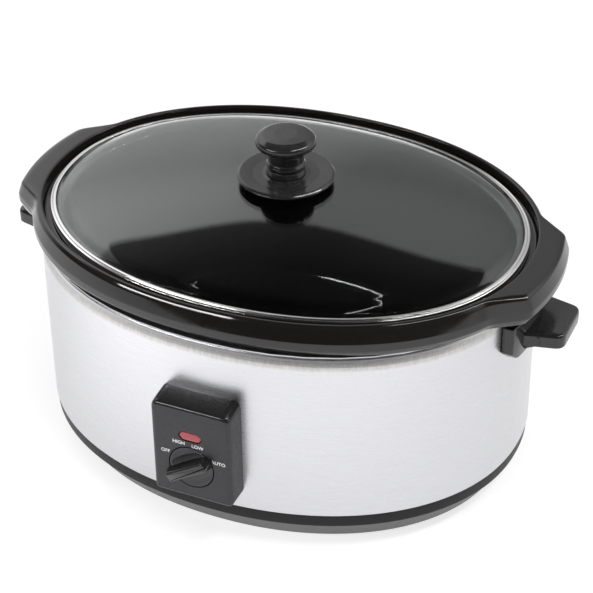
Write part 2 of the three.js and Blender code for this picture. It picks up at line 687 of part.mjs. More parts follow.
// Finger bar along +X, its top edges rounded in all three views.
function gripBar(bottom) {
  const [long, wide, top] = [gripLength / 2, gripWidth / 2, bottom + gripHeight];
  const plan = outline([[-long, -wide, 3], [long - wide, -wide, 2], [long, 0, 1.5],
    [long - wide, wide, 2], [-long, wide, 3]]);
  const along = outline([[-long, bottom, 0.5], [long, bottom, 0.5], [long, top, gripRound],
    [-long, top, gripRound]]);
  const across = outline([[-wide, bottom, 0.5], [wide, bottom, 0.5], [wide, top, gripRound],
    [-wide, top, gripRound]]);
  return common(
    slab(plan, top + gripHeight),
    slab(along, gripWidth).rotateX(Math.PI / 2).translate(0, wide, 0),
    sideView(slab(across, gripLength)).translate(-long, 0, 0),
  );
}

function selectorKnob() {
  const back = dialLift - dialWell;
  const disc = turned([[0, back], [dialRadius, back], [dialRadius, dialProud - 0.4],
    [dialRadius - 0.4, dialProud], [0, dialProud]], knobSteps);
  const nest = bar(nutRadius + 1.5, back - 1, bushProud + runGap - dialWell);
  const bore = bar(shaftRadius + runGap, back - 1, shaftFront + runGap);
  return cut(join(disc, gripBar(dialProud - 0.2)), nest, bore).rotateX(Math.PI / 2);
}
piece('selector_knob', selectorKnob(), phenolic(), dial);

// ---------------------------------------------------------------- crock
// Pushes the lip's outer face out into a lug at each end.
function addLugs(geometry) {
  const position = geometry.attributes.position;
  const reach = lipHalfDepth + crockSpread + lugReach;
  for (let i = 0; i < position.count; i += 1) {
    const [x, y, z] = [position.getX(i), position.getY(i), position.getZ(i)];
    const side = Math.abs(y);
    const outer = ovalX(y, rimInner + 2, crockSpread);
    if (side < lugRoot && Math.abs(x) > outer && z > lipBottom - 0.01) {
      const corner = reach - 6;
      const rootX = ovalX(lugRoot, lipHalfDepth, crockSpread);
      const edge = side < lugHalfWidth
        ? reach - 6 * (side / lugHalfWidth) ** 2
        : THREE.MathUtils.lerp(corner, rootX, (side - lugHalfWidth) / (lugRoot - lugHalfWidth));
      const lip = ovalX(y, lipHalfDepth, crockSpread);
      position.setX(i, Math.sign(x) * (Math.abs(x) + Math.max(edge - lip, 0)
        * THREE.MathUtils.smoothstep(Math.abs(x), outer, outer + 3)));
    }
  }
  return geometry;
}

function crock() {
  const bottomHalf = crockTopHalf - crockTaper;
  const inside = arc(bottomHalf - crockCorner, crockBottom + crockCorner, crockCorner - crockWall,
    0, -90, 3);
  const outside = arc(bottomHalf - crockCorner, crockBottom + crockCorner, crockCorner, -90, 0, 3);
  const lip = lipHalfDepth;
  const roll = rimTop - 9;
  return addLugs(oval([
    [0, crockBottom], ...outside, [crockTopHalf, lipBottom - 3], [crockTopHalf + 3, lipBottom],
    [lip - 4.6, lipBottom], [lip - 3, lipBottom + 1.6], [lip - 0.4, roll - 2], [lip, roll + 1],
    [lip - 1.2, roll + 5.4], [lip - 4.2, rimTop - 0.5], [lip - 6.2, rimTop],
    [rimInner + 0.4, rimTop - 0.8], [rimInner - 0.4, ledge + 2], [rimInner - 2.4, ledge],
    [cavityTopHalf + 2, ledge], [cavityTopHalf, ledge - 2.4],
    ...inside, [0, crockFloor],
  ], crockSpread, crockSteps));
}
piece('crock', crock(), glazed());

// ---------------------------------------------------------------- lid
const screwHole = lidScrewRadius + runGap;
function lidGlass() {
  const shoulderTop = glassEdgeHalf - lidBandLap + 1 - glassShoulder;
  const spreadAt = (b) => crockSpread * Math.min(1, b / shoulderTop) ** 2;
  const crown = lidBandTop + glassShoulderRise;
  const dome = (b, drop) => [b, glassTop - drop - (glassTop - crown) * (b / shoulderTop) ** 2,
    spreadAt(b)];
  const shoulder = (t, inward, drop) => {
    const rise = (1 - Math.cos(t * Math.PI)) / 2;
    const b = shoulderTop + glassShoulder * (1 - t) ** 1.3;
    return [b - inward, THREE.MathUtils.lerp(glassEdgeTop, crown, rise) - drop, crockSpread];
  };
  const rings = [4.6, 34, 66, 94];
  const climbs = [0.1, 0.38, 0.7];
  const tuck = (t) => glassThick * 0.72 * Math.sin(t * Math.PI);
  const sink = (t) => glassThick * (1 - 0.3 * Math.sin(t * Math.PI));
  return oval([
    ...rings.map((b) => dome(b, glassThick)), dome(shoulderTop, glassThick),
    ...climbs.map((t) => shoulder(t, tuck(t), sink(t))).reverse(),
    [glassEdgeHalf, glassEdgeBottom], [glassEdgeHalf, glassEdgeTop],
    ...climbs.map((t) => shoulder(t, 0, 0)), dome(shoulderTop, 0),
    ...rings.map((b) => dome(b, 0)).reverse(), dome(rings[0], glassThick),
  ], crockSpread);
}
piece('lid_glass', lidGlass(), new THREE.MeshStandardMaterial({ color: 0xb9c4c6, roughness: 0.05,
  metalness: 0, transparent: true, opacity: 0.35 }));

function lidBand() {
  const inner = lidHalf - lidBandLap;
  return oval([
    [inner, lidBottom], [lidHalf - 0.8, lidBottom], [lidHalf, lidBottom + 0.8],
    [lidHalf, lidBandTop - 0.8], [lidHalf - 0.8, lidBandTop], [inner, lidBandTop],
    [inner, lidBandTop - sheet], [lidHalf - sheet, lidBandTop - sheet],
    [lidHalf - sheet, lidBottom + sheet], [inner, lidBottom + sheet], [inner, lidBottom],
  ], crockSpread);
}
piece('lid_band', lidBand(), paint(0xd6d6d8, 0.15, 1));

const sealBottom = glassTop + restGap;
const sealTop = sealBottom + washerThick;
const skirtBottom = sealTop + restGap;
const skirtTop = skirtBottom + skirtThick;
const knobBottom = skirtTop + restGap;
const knobTop = knobBottom + knobHeight;
const ring = (radius, from, to, hole = screwHole) =>
  turned([[hole, from], [radius, from], [radius, to], [hole, to], [hole, from]]);
piece('lid_seal', ring(sealRadius, sealBottom, sealTop), rubber());
piece('knob_skirt', turned([
  [screwHole, skirtBottom], [skirtRadius - 3, skirtBottom], [skirtRadius - 0.8, skirtBottom + 0.6],
  [skirtRadius, skirtBottom + 1.9], [skirtRadius - 0.7, skirtBottom + 3.2],
  [skirtRadius - 2.6, skirtTop - 0.2], [24, skirtTop - 0.7], [knobNeckRadius + 3, skirtTop - 0.6],
  [knobNeckRadius + 1.6, skirtTop], [screwHole, skirtTop], [screwHole, skirtBottom],
], knobSteps), phenolic());

function lidKnob() {
  const neck = knobNeckRadius;
  const head = knobHeadRadius;
  const up = (height) => knobBottom + height;
  const hole = knobTop - 9;
  return turned([
    [screwHole, knobBottom], [neck + 1.2, knobBottom], [neck + 0.4, up(1.4)], [neck - 0.3, up(5)],
    [neck + 0.5, up(6)], [neck + 0.7, up(7)], [neck + 0.5, up(8)], [neck - 0.4, up(9)],
    [neck - 0.4, up(16)], [neck + 0.3, up(18.4)], [neck + 3.4, up(20)], [head - 1.5, up(22.2)],
    [head - 0.2, up(24)], [head, up(25.6)], [head - 0.5, up(27.2)], [head - 2.2, up(28.8)],
    [head - 5, up(29.9)], [10, up(30.7)], [0, knobTop], [0, hole], [screwHole, hole],
    [screwHole, knobBottom],
  ], knobSteps);
}
piece('lid_knob', lidKnob(), phenolic());

const clampTop = glassTop - glassThick - restGap;
piece('clamp_washer', ring(washerRadius, clampTop - washerThick, clampTop), plainSteel());
const lidScrewHead = clampTop - washerThick - restGap - screwHeadThick;
piece('lid_screw', screw(lidScrewHead, knobTop - 11, lidScrewHeadRadius, lidScrewRadius), plainSteel());

// ---------------------------------------------------------------- origin under the middle
const bounds = new THREE.Box3().setFromObject(cooker);
const middle = bounds.getCenter(new THREE.Vector3());
cooker.position.set(-middle.x, -middle.y, -bounds.min.z);

export default cooker;
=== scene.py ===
"""Oval slow cooker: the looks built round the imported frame. Metres, +Z up, front towards -Y."""
import json
import math

import bmesh
import bpy
from mathutils import Matrix, Vector


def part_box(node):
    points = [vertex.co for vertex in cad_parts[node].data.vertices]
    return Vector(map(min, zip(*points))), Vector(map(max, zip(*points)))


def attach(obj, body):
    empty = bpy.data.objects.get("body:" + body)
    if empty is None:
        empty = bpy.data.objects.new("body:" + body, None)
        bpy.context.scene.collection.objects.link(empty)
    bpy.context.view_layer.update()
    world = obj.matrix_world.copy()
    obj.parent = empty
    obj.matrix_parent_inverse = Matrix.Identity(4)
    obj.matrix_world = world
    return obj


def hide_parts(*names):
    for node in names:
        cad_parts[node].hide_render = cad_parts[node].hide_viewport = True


bl_info = {
    "name": "Oval slow cooker",
    "version": (1, 0, 0),
    "blender": (4, 5, 0),
    "location": "View3D > Sidebar > Cooker",
    "description": "Builds the visible pieces, finishes and studio of an oval slow cooker",
    "category": "Object",
}

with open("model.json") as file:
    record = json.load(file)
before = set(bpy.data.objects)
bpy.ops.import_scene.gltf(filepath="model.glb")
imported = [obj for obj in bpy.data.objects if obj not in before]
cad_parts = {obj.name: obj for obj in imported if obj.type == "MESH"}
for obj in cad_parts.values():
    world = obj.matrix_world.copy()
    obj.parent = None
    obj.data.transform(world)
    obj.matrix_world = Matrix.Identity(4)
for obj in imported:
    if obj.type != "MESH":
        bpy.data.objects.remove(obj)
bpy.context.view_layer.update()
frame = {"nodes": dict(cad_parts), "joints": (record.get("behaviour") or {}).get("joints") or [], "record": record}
MM = 0.001
OVAL_POWER = 2.11
FULL_TURN = 2 * math.pi


def node_box(node):
    """Lowest and highest corner of a frame node as vectors."""
    low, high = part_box(node)
    return Vector(low), Vector(high)


CASING_LOW, CASING_HIGH = node_box("outer_casing")
CROCK_LOW, CROCK_HIGH = node_box("crock")
BAND_LOW, BAND_HIGH = node_box("lid_band")
GLASS_LOW, GLASS_HIGH = node_box("lid_glass")
KNOB_LOW, KNOB_HIGH = node_box("lid_knob")
SKIRT_LOW, SKIRT_HIGH = node_box("knob_skirt")
BASE_LOW, BASE_HIGH = node_box("base_housing")
PANEL_LOW, PANEL_HIGH = node_box("control_panel")
LENS_LOW, LENS_HIGH = node_box("indicator_lens")
HANDLE_LOW, HANDLE_HIGH = node_box("right_handle")
MID_Y = (CASING_LOW.y + CASING_HIGH.y) / 2
CASING_HALF = (CASING_HIGH.y - CASING_LOW.y) / 2
CASING_SPREAD = CASING_HIGH.x - CASING_HALF
LIP_HALF = (CROCK_HIGH.y - CROCK_LOW.y) / 2
BAND_HALF = (BAND_HIGH.y - BAND_LOW.y) / 2
CROCK_SPREAD = BAND_HIGH.x - BAND_HALF
DIAL = next(j for j in frame["joints"] if j["name"] == "selector_turn")
DIAL_CENTRE = Vector(DIAL["pos_m"])


# ---------------------------------------------------------------- settings a user would change
def length(name, description, default):
    return bpy.props.FloatProperty(name=name, description=description, default=default,
                                   min=0.0, subtype="DISTANCE", unit="LENGTH")


def colour(name, description, default):
    return bpy.props.FloatVectorProperty(name=name, description=description, default=default,
                                         min=0.0, max=1.0, size=3, subtype="COLOR")


def amount(name, description, default):
    return bpy.props.FloatProperty(name=name, description=description, default=default,
                                   min=0.0, max=1.0, subtype="FACTOR")


class CookerSizes(bpy.types.PropertyGroup):
    """Sizes of the visible pieces that the frame does not fix."""
    lug_reach: length("Lug reach", "How far a lug stands past the oval lip",
                      CROCK_HIGH.x - LIP_HALF - CROCK_SPREAD)
    lug_half: length("Lug half width", "Half the width of a lug's outer edge", 44 * MM)
    lug_root: length("Lug root", "Half the width where a lug leaves the oval", 60 * MM)
    rim_width: length("Rim width", "Width of the crock's raised rim", 8.4 * MM)
    ledge_drop: length("Ledge drop", "Depth of the ledge that the lid sits on", 9 * MM)
    crock_wall: length("Crock wall", "Thickness of the stoneware", 7 * MM)
    glass_thick: length("Glass thickness", "Thickness of the lid glass", 4 * MM)
    head_radius: length("Knob head", "Radius of the lid knob's head", KNOB_HIGH.x)
    neck_radius: length("Knob neck", "Radius of the lid knob's neck", 13.4 * MM)
    handle_root: length("Handle root", "Half width of a side handle at the casing", 28 * MM)
    handle_tip: length("Handle tip", "Half width of a side handle at its end", 20.5 * MM)
    handle_lip: length("Handle lip", "Depth of a side handle's edge", 11 * MM)
    handle_top: length("Handle top", "Height of a side handle's top face", 148.5 * MM)
    mount_thick: length("Mount thickness", "Thickness of a handle's mounting block", 8 * MM)
    panel_edge: length("Panel edge", "Rounding of the panel's front edges", 3.4 * MM)
    dial_radius: length("Dial radius", "Radius of the dial's disc", 16.7 * MM)
    dial_well: length("Dial well", "Depth of the round well that the dial sits in", 4 * MM)
    grip_length: length("Grip length", "Length of the dial's grip bar", 40 * MM)
    grip_width: length("Grip width", "Width of the dial's grip bar", 10 * MM)


class CookerFinishes(bpy.types.PropertyGroup):
    """Colours and finishes of the visible pieces."""
    casing: colour("Casing", "Satin steel of the casing", (0.60, 0.60, 0.62))
    casing_rough: amount("Casing roughness", "Roughness of the casing's satin finish", 0.29)
    # Shoulder colour: painted reflection of the casing's curved shoulder, darker and warmer than the plain steel
    shoulder: colour("Shoulder", "Coarser steel round the casing's shoulder", (0.47, 0.465, 0.455))
    band: colour("Lid band", "Polished steel of the lid band", (0.74, 0.73, 0.72))
    glaze: colour("Glaze", "Glaze of the crock", (0.0095, 0.0082, 0.0078))
    phenolic: colour("Phenolic", "Moulded knobs and handles", (0.013, 0.013, 0.0135))
    panel: colour("Panel", "Satin face of the control panel", (0.029, 0.028, 0.032))
    tier: colour("Base tier", "Upper tier of the base", (0.009, 0.0087, 0.0097))
    plinth: colour("Plinth", "Lower plinth of the base", (0.15, 0.15, 0.152))
    lens: colour("Lens", "Indicator lens", (0.38, 0.035, 0.05))
    floor: colour("Floor", "Studio floor", (0.46, 0.46, 0.46))


def sizes():
    return bpy.context.scene.cooker_sizes


def finishes():
    return bpy.context.scene.cooker_finishes


# ---------------------------------------------------------------- mesh making
def oval_point(angle, half, spread):
    """Point on a slightly squared oval whose half length is half + spread."""
    def bend(v):
        return math.copysign(abs(v) ** (2 / OVAL_POWER), v) if abs(v) > 1e-9 else 0.0
    return (half + spread) * bend(math.cos(angle)), half * bend(math.sin(angle))


def oval_x(y, half, spread):
    """Half length of the oval at a distance y from its long axis."""
    share = min(abs(y) / half, 1.0)
    return (half + spread) * (1 - share ** OVAL_POWER) ** (1 / OVAL_POWER)


def rounded(corners, steps=6):
    """Fine profile through (half, height, radius[, spread]) corners, each cut back and rounded."""
    points = []
    last = len(corners) - 1
    for i, corner in enumerate(corners):
        here = Vector(corner[:2])
        radius = corner[2] if len(corner) > 2 else 0.0
        own = corner[3:4]
        if radius == 0 or i in (0, last):
            points.append((here.x, here.y, *own))
            continue
        back = Vector(corners[i - 1][:2]) - here
        ahead = Vector(corners[i + 1][:2]) - here
        turn = back.angle(ahead)
        reach = min(radius / math.tan(turn / 2), back.length * 0.49, ahead.length * 0.49)
        start = here + back.normalized() * reach
        end = here + ahead.normalized() * reach
        for k in range(steps + 1):
            t = k / steps
            spot = start * (1 - t) ** 2 + here * 2 * t * (1 - t) + end * t ** 2
            points.append((spot.x, spot.y, *own))
    return points


def finish_mesh(name, bm, sharp=34, smooth=True):
    """Turns a bmesh into a smooth-shaded object with creases kept at steep edges."""
    bmesh.ops.remove_doubles(bm, verts=bm.verts, dist=1e-7)
    bmesh.ops.recalc_face_normals(bm, faces=bm.faces)
    mesh = bpy.data.meshes.new(name)
    bm.to_mesh(mesh)
    bm.free()
    piece = bpy.data.objects.new(name, mesh)
    bpy.context.scene.collection.objects.link(piece)
    if smooth:
        mesh.shade_smooth()
        mesh.set_sharp_from_angle(angle=math.radians(sharp))
    return piece


def sweep(name, profile, place, steps, closed=True, sharp=34, shape=None):
    """Carries a profile round: place(angle, half, spread) gives x, y; shape may move each point."""
    bm = bmesh.new()
    rings = []
    for point in profile:
        half, height = point[0], point[1]
        spread = point[2] if len(point) > 2 else None
        if half <= 1e-6:
            rings.append([bm.verts.new((0.0, MID_Y, height))])
            continue
        ring = []
        for k in range(steps):
            x, y = place(FULL_TURN * k / steps, half, spread)
            spot = Vector((x, y + MID_Y, height))
            ring.append(bm.verts.new(shape(spot, half) if shape else spot))
        rings.append(ring)
    pairs = list(zip(rings, rings[1:]))
    if closed:
        pairs.append((rings[-1], rings[0]))
    for lower, upper in pairs:
        for k in range(steps):
            n = (k + 1) % steps
            if len(lower) == 1 and len(upper) == 1:
                break
            if len(lower) == 1:
                bm.faces.new((lower[0], upper[k], upper[n]))
            elif len(upper) == 1:
                bm.faces.new((lower[k], lower[n], upper[0]))
            else:
                bm.faces.new((lower[k], lower[n], upper[n], upper[k]))
    return finish_mesh(name, bm, sharp)


def oval_piece(name, profile, spread, steps=224, **extra):
    def place(angle, half, own):
        return oval_point(angle, half, spread if own is None else own)
    return sweep(name, profile, place, steps, **extra)


def round_piece(name, profile, steps=96, **extra):
    def place(angle, half, own):
        return half * math.cos(angle), half * math.sin(angle)
    return sweep(name, profile, place, steps, **extra)


def outline(corners, steps=6):
    """Closed outline of (x, y, radius) corners, rounded."""
    points = []
    count = len(corners)
    for i, (x, y, radius) in enumerate(corners):
        here = Vector((x, y))
        back = Vector(corners[i - 1][:2]) - here
        ahead = Vector(corners[(i + 1) % count][:2]) - here
        reach = min(radius, back.length * 0.49, ahead.length * 0.49)
        start = here + back.normalized() * reach
        end = here + ahead.normalized() * reach
        for k in range(steps + 1):
            t = k / steps
            points.append(start * (1 - t) ** 2 + here * 2 * t * (1 - t) + end * t ** 2)
    return points


def inset_outline(points, amount_in):
    """Outline moved inwards by an amount, along the bisector at each point."""
    moved = []
    count = len(points)
    for i, here in enumerate(points):
        back = (here - points[i - 1]).normalized()
        ahead = (points[(i + 1) % count] - here).normalized()
        along = (back + ahead).normalized()
        inward = Vector((-along.y, along.x))
        moved.append(here + inward * amount_in)
    return moved


def stacked(name, layers, sharp=34, caps=(True, True)):
    """Solid from loops of 3D points, one above the other, with flat ends."""
    bm = bmesh.new()
    loops = [[bm.verts.new(p) for p in layer] for layer in layers]
    count = len(loops[0])
    for lower, upper in zip(loops, loops[1:]):
        for k in range(count):
            n = (k + 1) % count
            bm.faces.new((lower[k], lower[n], upper[n], upper[k]))
    if caps[0]:
        bm.faces.new(loops[0][::-1])
    if caps[1]:
        bm.faces.new(loops[-1])
    return finish_mesh(name, bm, sharp)


def apply_bevel(piece, width, segments=3, angle=30):
    """Rounds a piece's edges and keeps the result in its mesh."""
    mod = piece.modifiers.new("edges", "BEVEL")
    mod.width = width
    mod.segments = segments
    mod.limit_method = "ANGLE"
    mod.angle_limit = math.radians(angle)
    mod.harden_normals = False
    keep_modifiers(piece)
    piece.data.shade_smooth()
    piece.data.set_sharp_from_angle(angle=math.radians(40))


def keep_modifiers(piece):
    depsgraph = bpy.context.evaluated_depsgraph_get()
    mesh = bpy.data.meshes.new_from_object(piece.evaluated_get(depsgraph))
    piece.modifiers.clear()
    piece.data = mesh


def cut_with(piece, tool):
    """Cuts a tool's shape out of a piece; the new walls take the tool's finish."""
    mod = piece.modifiers.new("cut", "BOOLEAN")
    mod.operation = "DIFFERENCE"
    mod.solver = "EXACT"
    mod.material_mode = "TRANSFER"
    mod.object = tool
    bpy.context.view_layer.update()
    keep_modifiers(piece)
    bpy.data.objects.remove(tool, do_unlink=True)
    piece.data.set_sharp_from_angle(angle=math.radians(35))


def merge(name, pieces):
    """Joins several meshes into one object, each keeping its finish."""
    bm = bmesh.new()
    finishes_used = []
    for piece in pieces:
        start = len(bm.faces)
        bm.from_mesh(piece.data)
        bm.faces.ensure_lookup_table()
        own = list(piece.data.materials)
        for mat in own:
            if mat not in finishes_used:
                finishes_used.append(mat)
        for face in bm.faces[start:]:
            if own:
                face.material_index = finishes_used.index(own[min(face.material_index, len(own) - 1)])
    mesh = bpy.data.meshes.new(name)
    bm.to_mesh(mesh)
    bm.free()
    for mat in finishes_used:
        mesh.materials.append(mat)
    joined = bpy.data.objects.new(name, mesh)
    bpy.context.scene.collection.objects.link(joined)
    for piece in pieces:
        bpy.data.objects.remove(piece, do_unlink=True)
    mesh.set_sharp_from_angle(angle=math.radians(36))
    return joined


def hand_over(piece, body, slot, *nodes):
    """Puts a finished piece on its body and lets it stand for frame nodes."""
    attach(piece, body)
    if nodes:
        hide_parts(*nodes)


# ---------------------------------------------------------------- finishes
class Finish:
    """A Principled material with small helpers for its node tree."""

    def __init__(self, name, base, metallic=0.0, roughness=0.5):
        self.material = bpy.data.materials.new(name)
        self.material.use_nodes = True
        self.tree = self.material.node_tree
        self.shader = self.tree.nodes["Principled BSDF"]
        self.shader.inputs["Base Color"].default_value = (*base, 1.0)
        self.shader.inputs["Metallic"].default_value = metallic
        self.shader.inputs["Roughness"].default_value = roughness
        self.where = self.tree.nodes.new("ShaderNodeTexCoord").outputs["Object"]

    def node(self, kind, **settings):
        made = self.tree.nodes.new(kind)
        for key, value in settings.items():
            if hasattr(made, key):
                setattr(made, key, value)
            else:
                made.inputs[key].default_value = value
        return made

    def link(self, source, target):
        self.tree.links.new(source, target)

    def stretched(self, scale):
        mapping = self.node("ShaderNodeMapping")
        mapping.inputs["Scale"].default_value = scale
        self.link(self.where, mapping.inputs["Vector"])
        return mapping.outputs["Vector"]

    def noise(self, scale, detail=4.0, stretch=(1, 1, 1)):
        made = self.node("ShaderNodeTexNoise", Scale=scale, Detail=detail, Roughness=0.55)
        self.link(self.stretched(stretch), made.inputs["Vector"])
        return made.outputs["Fac"]

    def between(self, value, low, high, start=0.3, stop=0.7):
        made = self.node("ShaderNodeMapRange")
        made.inputs["From Min"].default_value = start
        made.inputs["From Max"].default_value = stop
        made.inputs["To Min"].default_value = low
        made.inputs["To Max"].default_value = high
        self.link(value, made.inputs["Value"])
        return made.outputs["Result"]

    def blend(self, mask, first, second):
        made = self.node("ShaderNodeMix", data_type="RGBA")
        made.inputs[6].default_value = (*first, 1.0)
        made.inputs[7].default_value = (*second, 1.0)
        self.link(mask, made.inputs[0])
        return made.outputs[2]

    def vary_roughness(self, low, high, scale, stretch=(1, 1, 1)):
        self.link(self.between(self.noise(scale, 5.0, stretch), low, high),
                  self.shader.inputs["Roughness"])
        return self

    def vary_colour(self, first, second, scale, stretch=(1, 1, 1)):
        self.link(self.blend(self.between(self.noise(scale, 5.0, stretch), 0.0, 1.0), first, second),
                  self.shader.inputs["Base Color"])
        return self

    def grain(self, scale, height, stretch=(1, 1, 1)):
        bump = self.node("ShaderNodeBump", Strength=1.0, Distance=height)
        self.link(self.noise(scale, 3.0, stretch), bump.inputs["Height"])
        self.link(bump.outputs["Normal"], self.shader.inputs["Normal"])
        return self


def shade(base, factor):
    return tuple(min(c * factor, 1.0) for c in base)


def satin_steel():
    """Fine satin steel; round the shoulder a darker, warmer band is painted reflection with the steel's brushing
    streaked through it, and the top edge is left at the plain colour so it reads as a bright line.
    """
    f = finishes()
    made = Finish("satin_steel", f.casing, 1.0, f.casing_rough)
    split = made.node("ShaderNodeSeparateXYZ")
    made.link(made.where, split.inputs[0])
    fray = made.between(made.noise(420.0, 6.0, (1, 1, 0.15)), -0.5 * MM, 0.5 * MM)
    level = made.node("ShaderNodeMath", operation="ADD")
    made.link(split.outputs["Z"], level.inputs[0])
    made.link(fray, level.inputs[1])
    # Shoulder band mask: the darker colour painted here is a painted reflection; the top edge above it keeps the
    # plain colour and reads as a bright line.
    band = made.between(level.outputs[0], 0.0, 1.0, CASING_HIGH.z - 10.2 * MM, CASING_HIGH.z - 7.8 * MM)
    edge = made.between(split.outputs["Z"], 1.0, 0.0, CASING_HIGH.z - 3.2 * MM, CASING_HIGH.z - 2.4 * MM)
    painted_shoulder_reflection = made.node("ShaderNodeMath", operation="MULTIPLY")
    made.link(band, painted_shoulder_reflection.inputs[0])
    made.link(edge, painted_shoulder_reflection.inputs[1])
    plain = made.blend(made.between(made.noise(900.0, 4.0, (0.05, 0.05, 3.0)), 0.0, 1.0),
                       shade(f.casing, 0.965), shade(f.casing, 1.02))
    mottled_shoulder_reflection = made.blend(made.between(made.noise(700.0, 4.0, (1, 1, 0.12)), 0.0, 1.0),
                         shade(f.shoulder, 0.88), shade(f.shoulder, 1.12))
    mix = made.node("ShaderNodeMix", data_type="RGBA")
    made.link(painted_shoulder_reflection.outputs[0], mix.inputs[0])
    made.link(plain, mix.inputs[6])
    made.link(mottled_shoulder_reflection, mix.inputs[7])
    made.link(mix.outputs[2], made.shader.inputs["Base Color"])
    satin = made.between(made.noise(1100.0, 4.0, (0.04, 0.04, 3.0)), f.casing_rough - 0.04,
                         f.casing_rough + 0.05)
    made.link(satin, made.shader.inputs["Roughness"])
    made.grain(1400.0, 0.000012, (0.04, 0.04, 2.5))
    return made.material


def polished_steel():
    f = finishes()
    made = Finish("polished_steel", f.band, 1.0, 0.12)
    made.vary_roughness(0.09, 0.2, 160.0, (0.3, 0.3, 4.0))
    made.vary_colour(shade(f.band, 0.93), f.band, 60.0, (0.5, 0.5, 6.0))
    made.grain(700.0, 0.000008, (0.1, 0.1, 3.0))
    return made.material


def mill_steel(name="mill_steel", base=(0.52, 0.53, 0.54)):
    made = Finish(name, base, 1.0, 0.4)
    made.vary_roughness(0.32, 0.52, 90.0, (1, 1, 0.2))
    made.vary_colour(shade(base, 0.85), shade(base, 1.1), 35.0)
    made.grain(900.0, 0.00001)
    return made.material


def black_glaze():
    """Deep black glaze, with the slow ripple and small pits of fired stoneware."""
    f = finishes()
    made = Finish("black_glaze", f.glaze, 0.0, 0.07)
    made.vary_roughness(0.045, 0.1, 70.0)
    made.vary_colour(f.glaze, shade(f.glaze, 1.3), 240.0)
    made.grain(38.0, 0.00006)
    return made.material


def black_phenolic():
    f = finishes()
    made = Finish("black_phenolic", f.phenolic, 0.0, 0.14)
    made.vary_roughness(0.1, 0.2, 120.0)
    made.vary_colour(f.phenolic, shade(f.phenolic, 1.8), 300.0)
    made.grain(220.0, 0.00001)
    return made.material


def moulded(name, base, rough, grain=0.00003, specular=0.5):
    """Moulded plastic with a spark-eroded grain."""
    made = Finish(name, base, 0.0, rough)
    made.vary_roughness(rough - 0.06, rough + 0.08, 260.0)
    made.vary_colour(shade(base, 0.85), shade(base, 1.15), 500.0)
    made.grain(1500.0, grain)
    made.shader.inputs["Specular IOR Level"].default_value = specular
    return made.material


def base_plastic():
    """Charcoal tier over a paler plinth, one moulding with two textures."""
    f = finishes()
    made = Finish("base_plastic", f.tier, 0.0, 0.42)
    made.shader.inputs["Specular IOR Level"].default_value = 0.25
    split = made.node("ShaderNodeSeparateXYZ")
    made.link(made.where, split.inputs[0])
    height = made.between(split.outputs["Z"], 0.0, 1.0, 20.2 * MM, 20.9 * MM)
    made.link(made.blend(height, f.plinth, f.tier), made.shader.inputs["Base Color"])
    made.vary_roughness(0.36, 0.5, 300.0)
    made.grain(1500.0, 0.00002)
    return made.material


def clear_glass():
    made = Finish("clear_glass", (0.93, 0.955, 0.95), 0.0, 0.0)
    made.shader.inputs["Transmission Weight"].default_value = 1.0
    made.shader.inputs["IOR"].default_value = 1.5
    made.vary_roughness(0.0, 0.012, 25.0)
    made.grain(14.0, 0.00001)
    return made.material


def red_lens():
    f = finishes()
    made = Finish("red_lens", f.lens, 0.0, 0.2)
    made.vary_colour(shade(f.lens, 0.7), shade(f.lens, 1.25), 420.0, (0.4, 1, 2))
    made.vary_roughness(0.14, 0.28, 300.0)
    made.grain(600.0, 0.00002)
    made.shader.inputs["Coat Weight"].default_value = 0.4
    return made.material


def soft_rubber():
    made = Finish("soft_rubber", (0.022, 0.022, 0.022), 0.0, 0.8)
    made.vary_roughness(0.7, 0.92, 200.0)
    made.vary_colour((0.018, 0.018, 0.018), (0.04, 0.04, 0.04), 150.0)
    made.grain(900.0, 0.00003)
    return made.material


def mineral_wool():
    made = Finish("mineral_wool", (0.72, 0.66, 0.48), 0.0, 0.95)
    made.vary_colour((0.6, 0.53, 0.36), (0.82, 0.77, 0.62), 180.0, (0.3, 0.3, 2.0))
    made.vary_roughness(0.88, 1.0, 200.0)
    made.grain(400.0, 0.0003, (0.3, 0.3, 1.5))
    return made.material


def plain_finish(name, base, rough, metallic=0.0):
    made = Finish(name, base, metallic, rough)
    made.vary_roughness(rough - 0.08, rough + 0.1, 180.0)
    made.vary_colour(shade(base, 0.82), shade(base, 1.12), 120.0)
    made.grain(800.0, 0.000015)
    return made.material


FINISH_BOOK = {}


def finish(name):
    """A finish by name, made once."""
    if name not in FINISH_BOOK:
        f = finishes()
        makers = {
            "satin_steel": satin_steel,
            "polished_steel": polished_steel,
            "mill_steel": mill_steel,
            "black_glaze": black_glaze,
            "black_phenolic": black_phenolic,
            "panel_face": lambda: moulded("panel_face", f.panel, 0.42, specular=0.36),
            "panel_gloss": lambda: moulded("panel_gloss", shade(f.phenolic, 1.4), 0.16, 0.000006),
            # Near-black recess finish: painted shade on the walls of the dial well and the lens pocket
            "recess_painted_shade": lambda: moulded("recess_painted_shade", (0.004, 0.004, 0.004), 0.5),
            "base_plastic": base_plastic,
            "clear_glass": clear_glass,
            "red_lens": red_lens,
            "soft_rubber": soft_rubber,
            "mineral_wool": mineral_wool,
            "white_ceramic": lambda: plain_finish("white_ceramic", (0.68, 0.65, 0.56), 0.55),
            "dark_plastic": lambda: plain_finish("dark_plastic", (0.035, 0.035, 0.04), 0.45),
            "brass": lambda: plain_finish("brass", (0.66, 0.5, 0.2), 0.3, 1.0),
            "brown_sleeve": lambda: plain_finish("brown_sleeve", (0.15, 0.07, 0.03), 0.45),
            "blue_sleeve": lambda: plain_finish("blue_sleeve", (0.05, 0.11, 0.3), 0.45),
            "white_print": lambda: plain_finish("white_print", (0.86, 0.86, 0.87), 0.5),
        }
        FINISH_BOOK[name] = makers[name]()
    return FINISH_BOOK[name]


def paint(piece, *names):
    piece.data.materials.clear()
    for name in names:
        piece.data.materials.append(finish(name))
    return piece


# ---------------------------------------------------------------- operators
class MakePiece:
    """Shared settings of the operators that make pieces."""
    bl_options = {"REGISTER", "UNDO"}


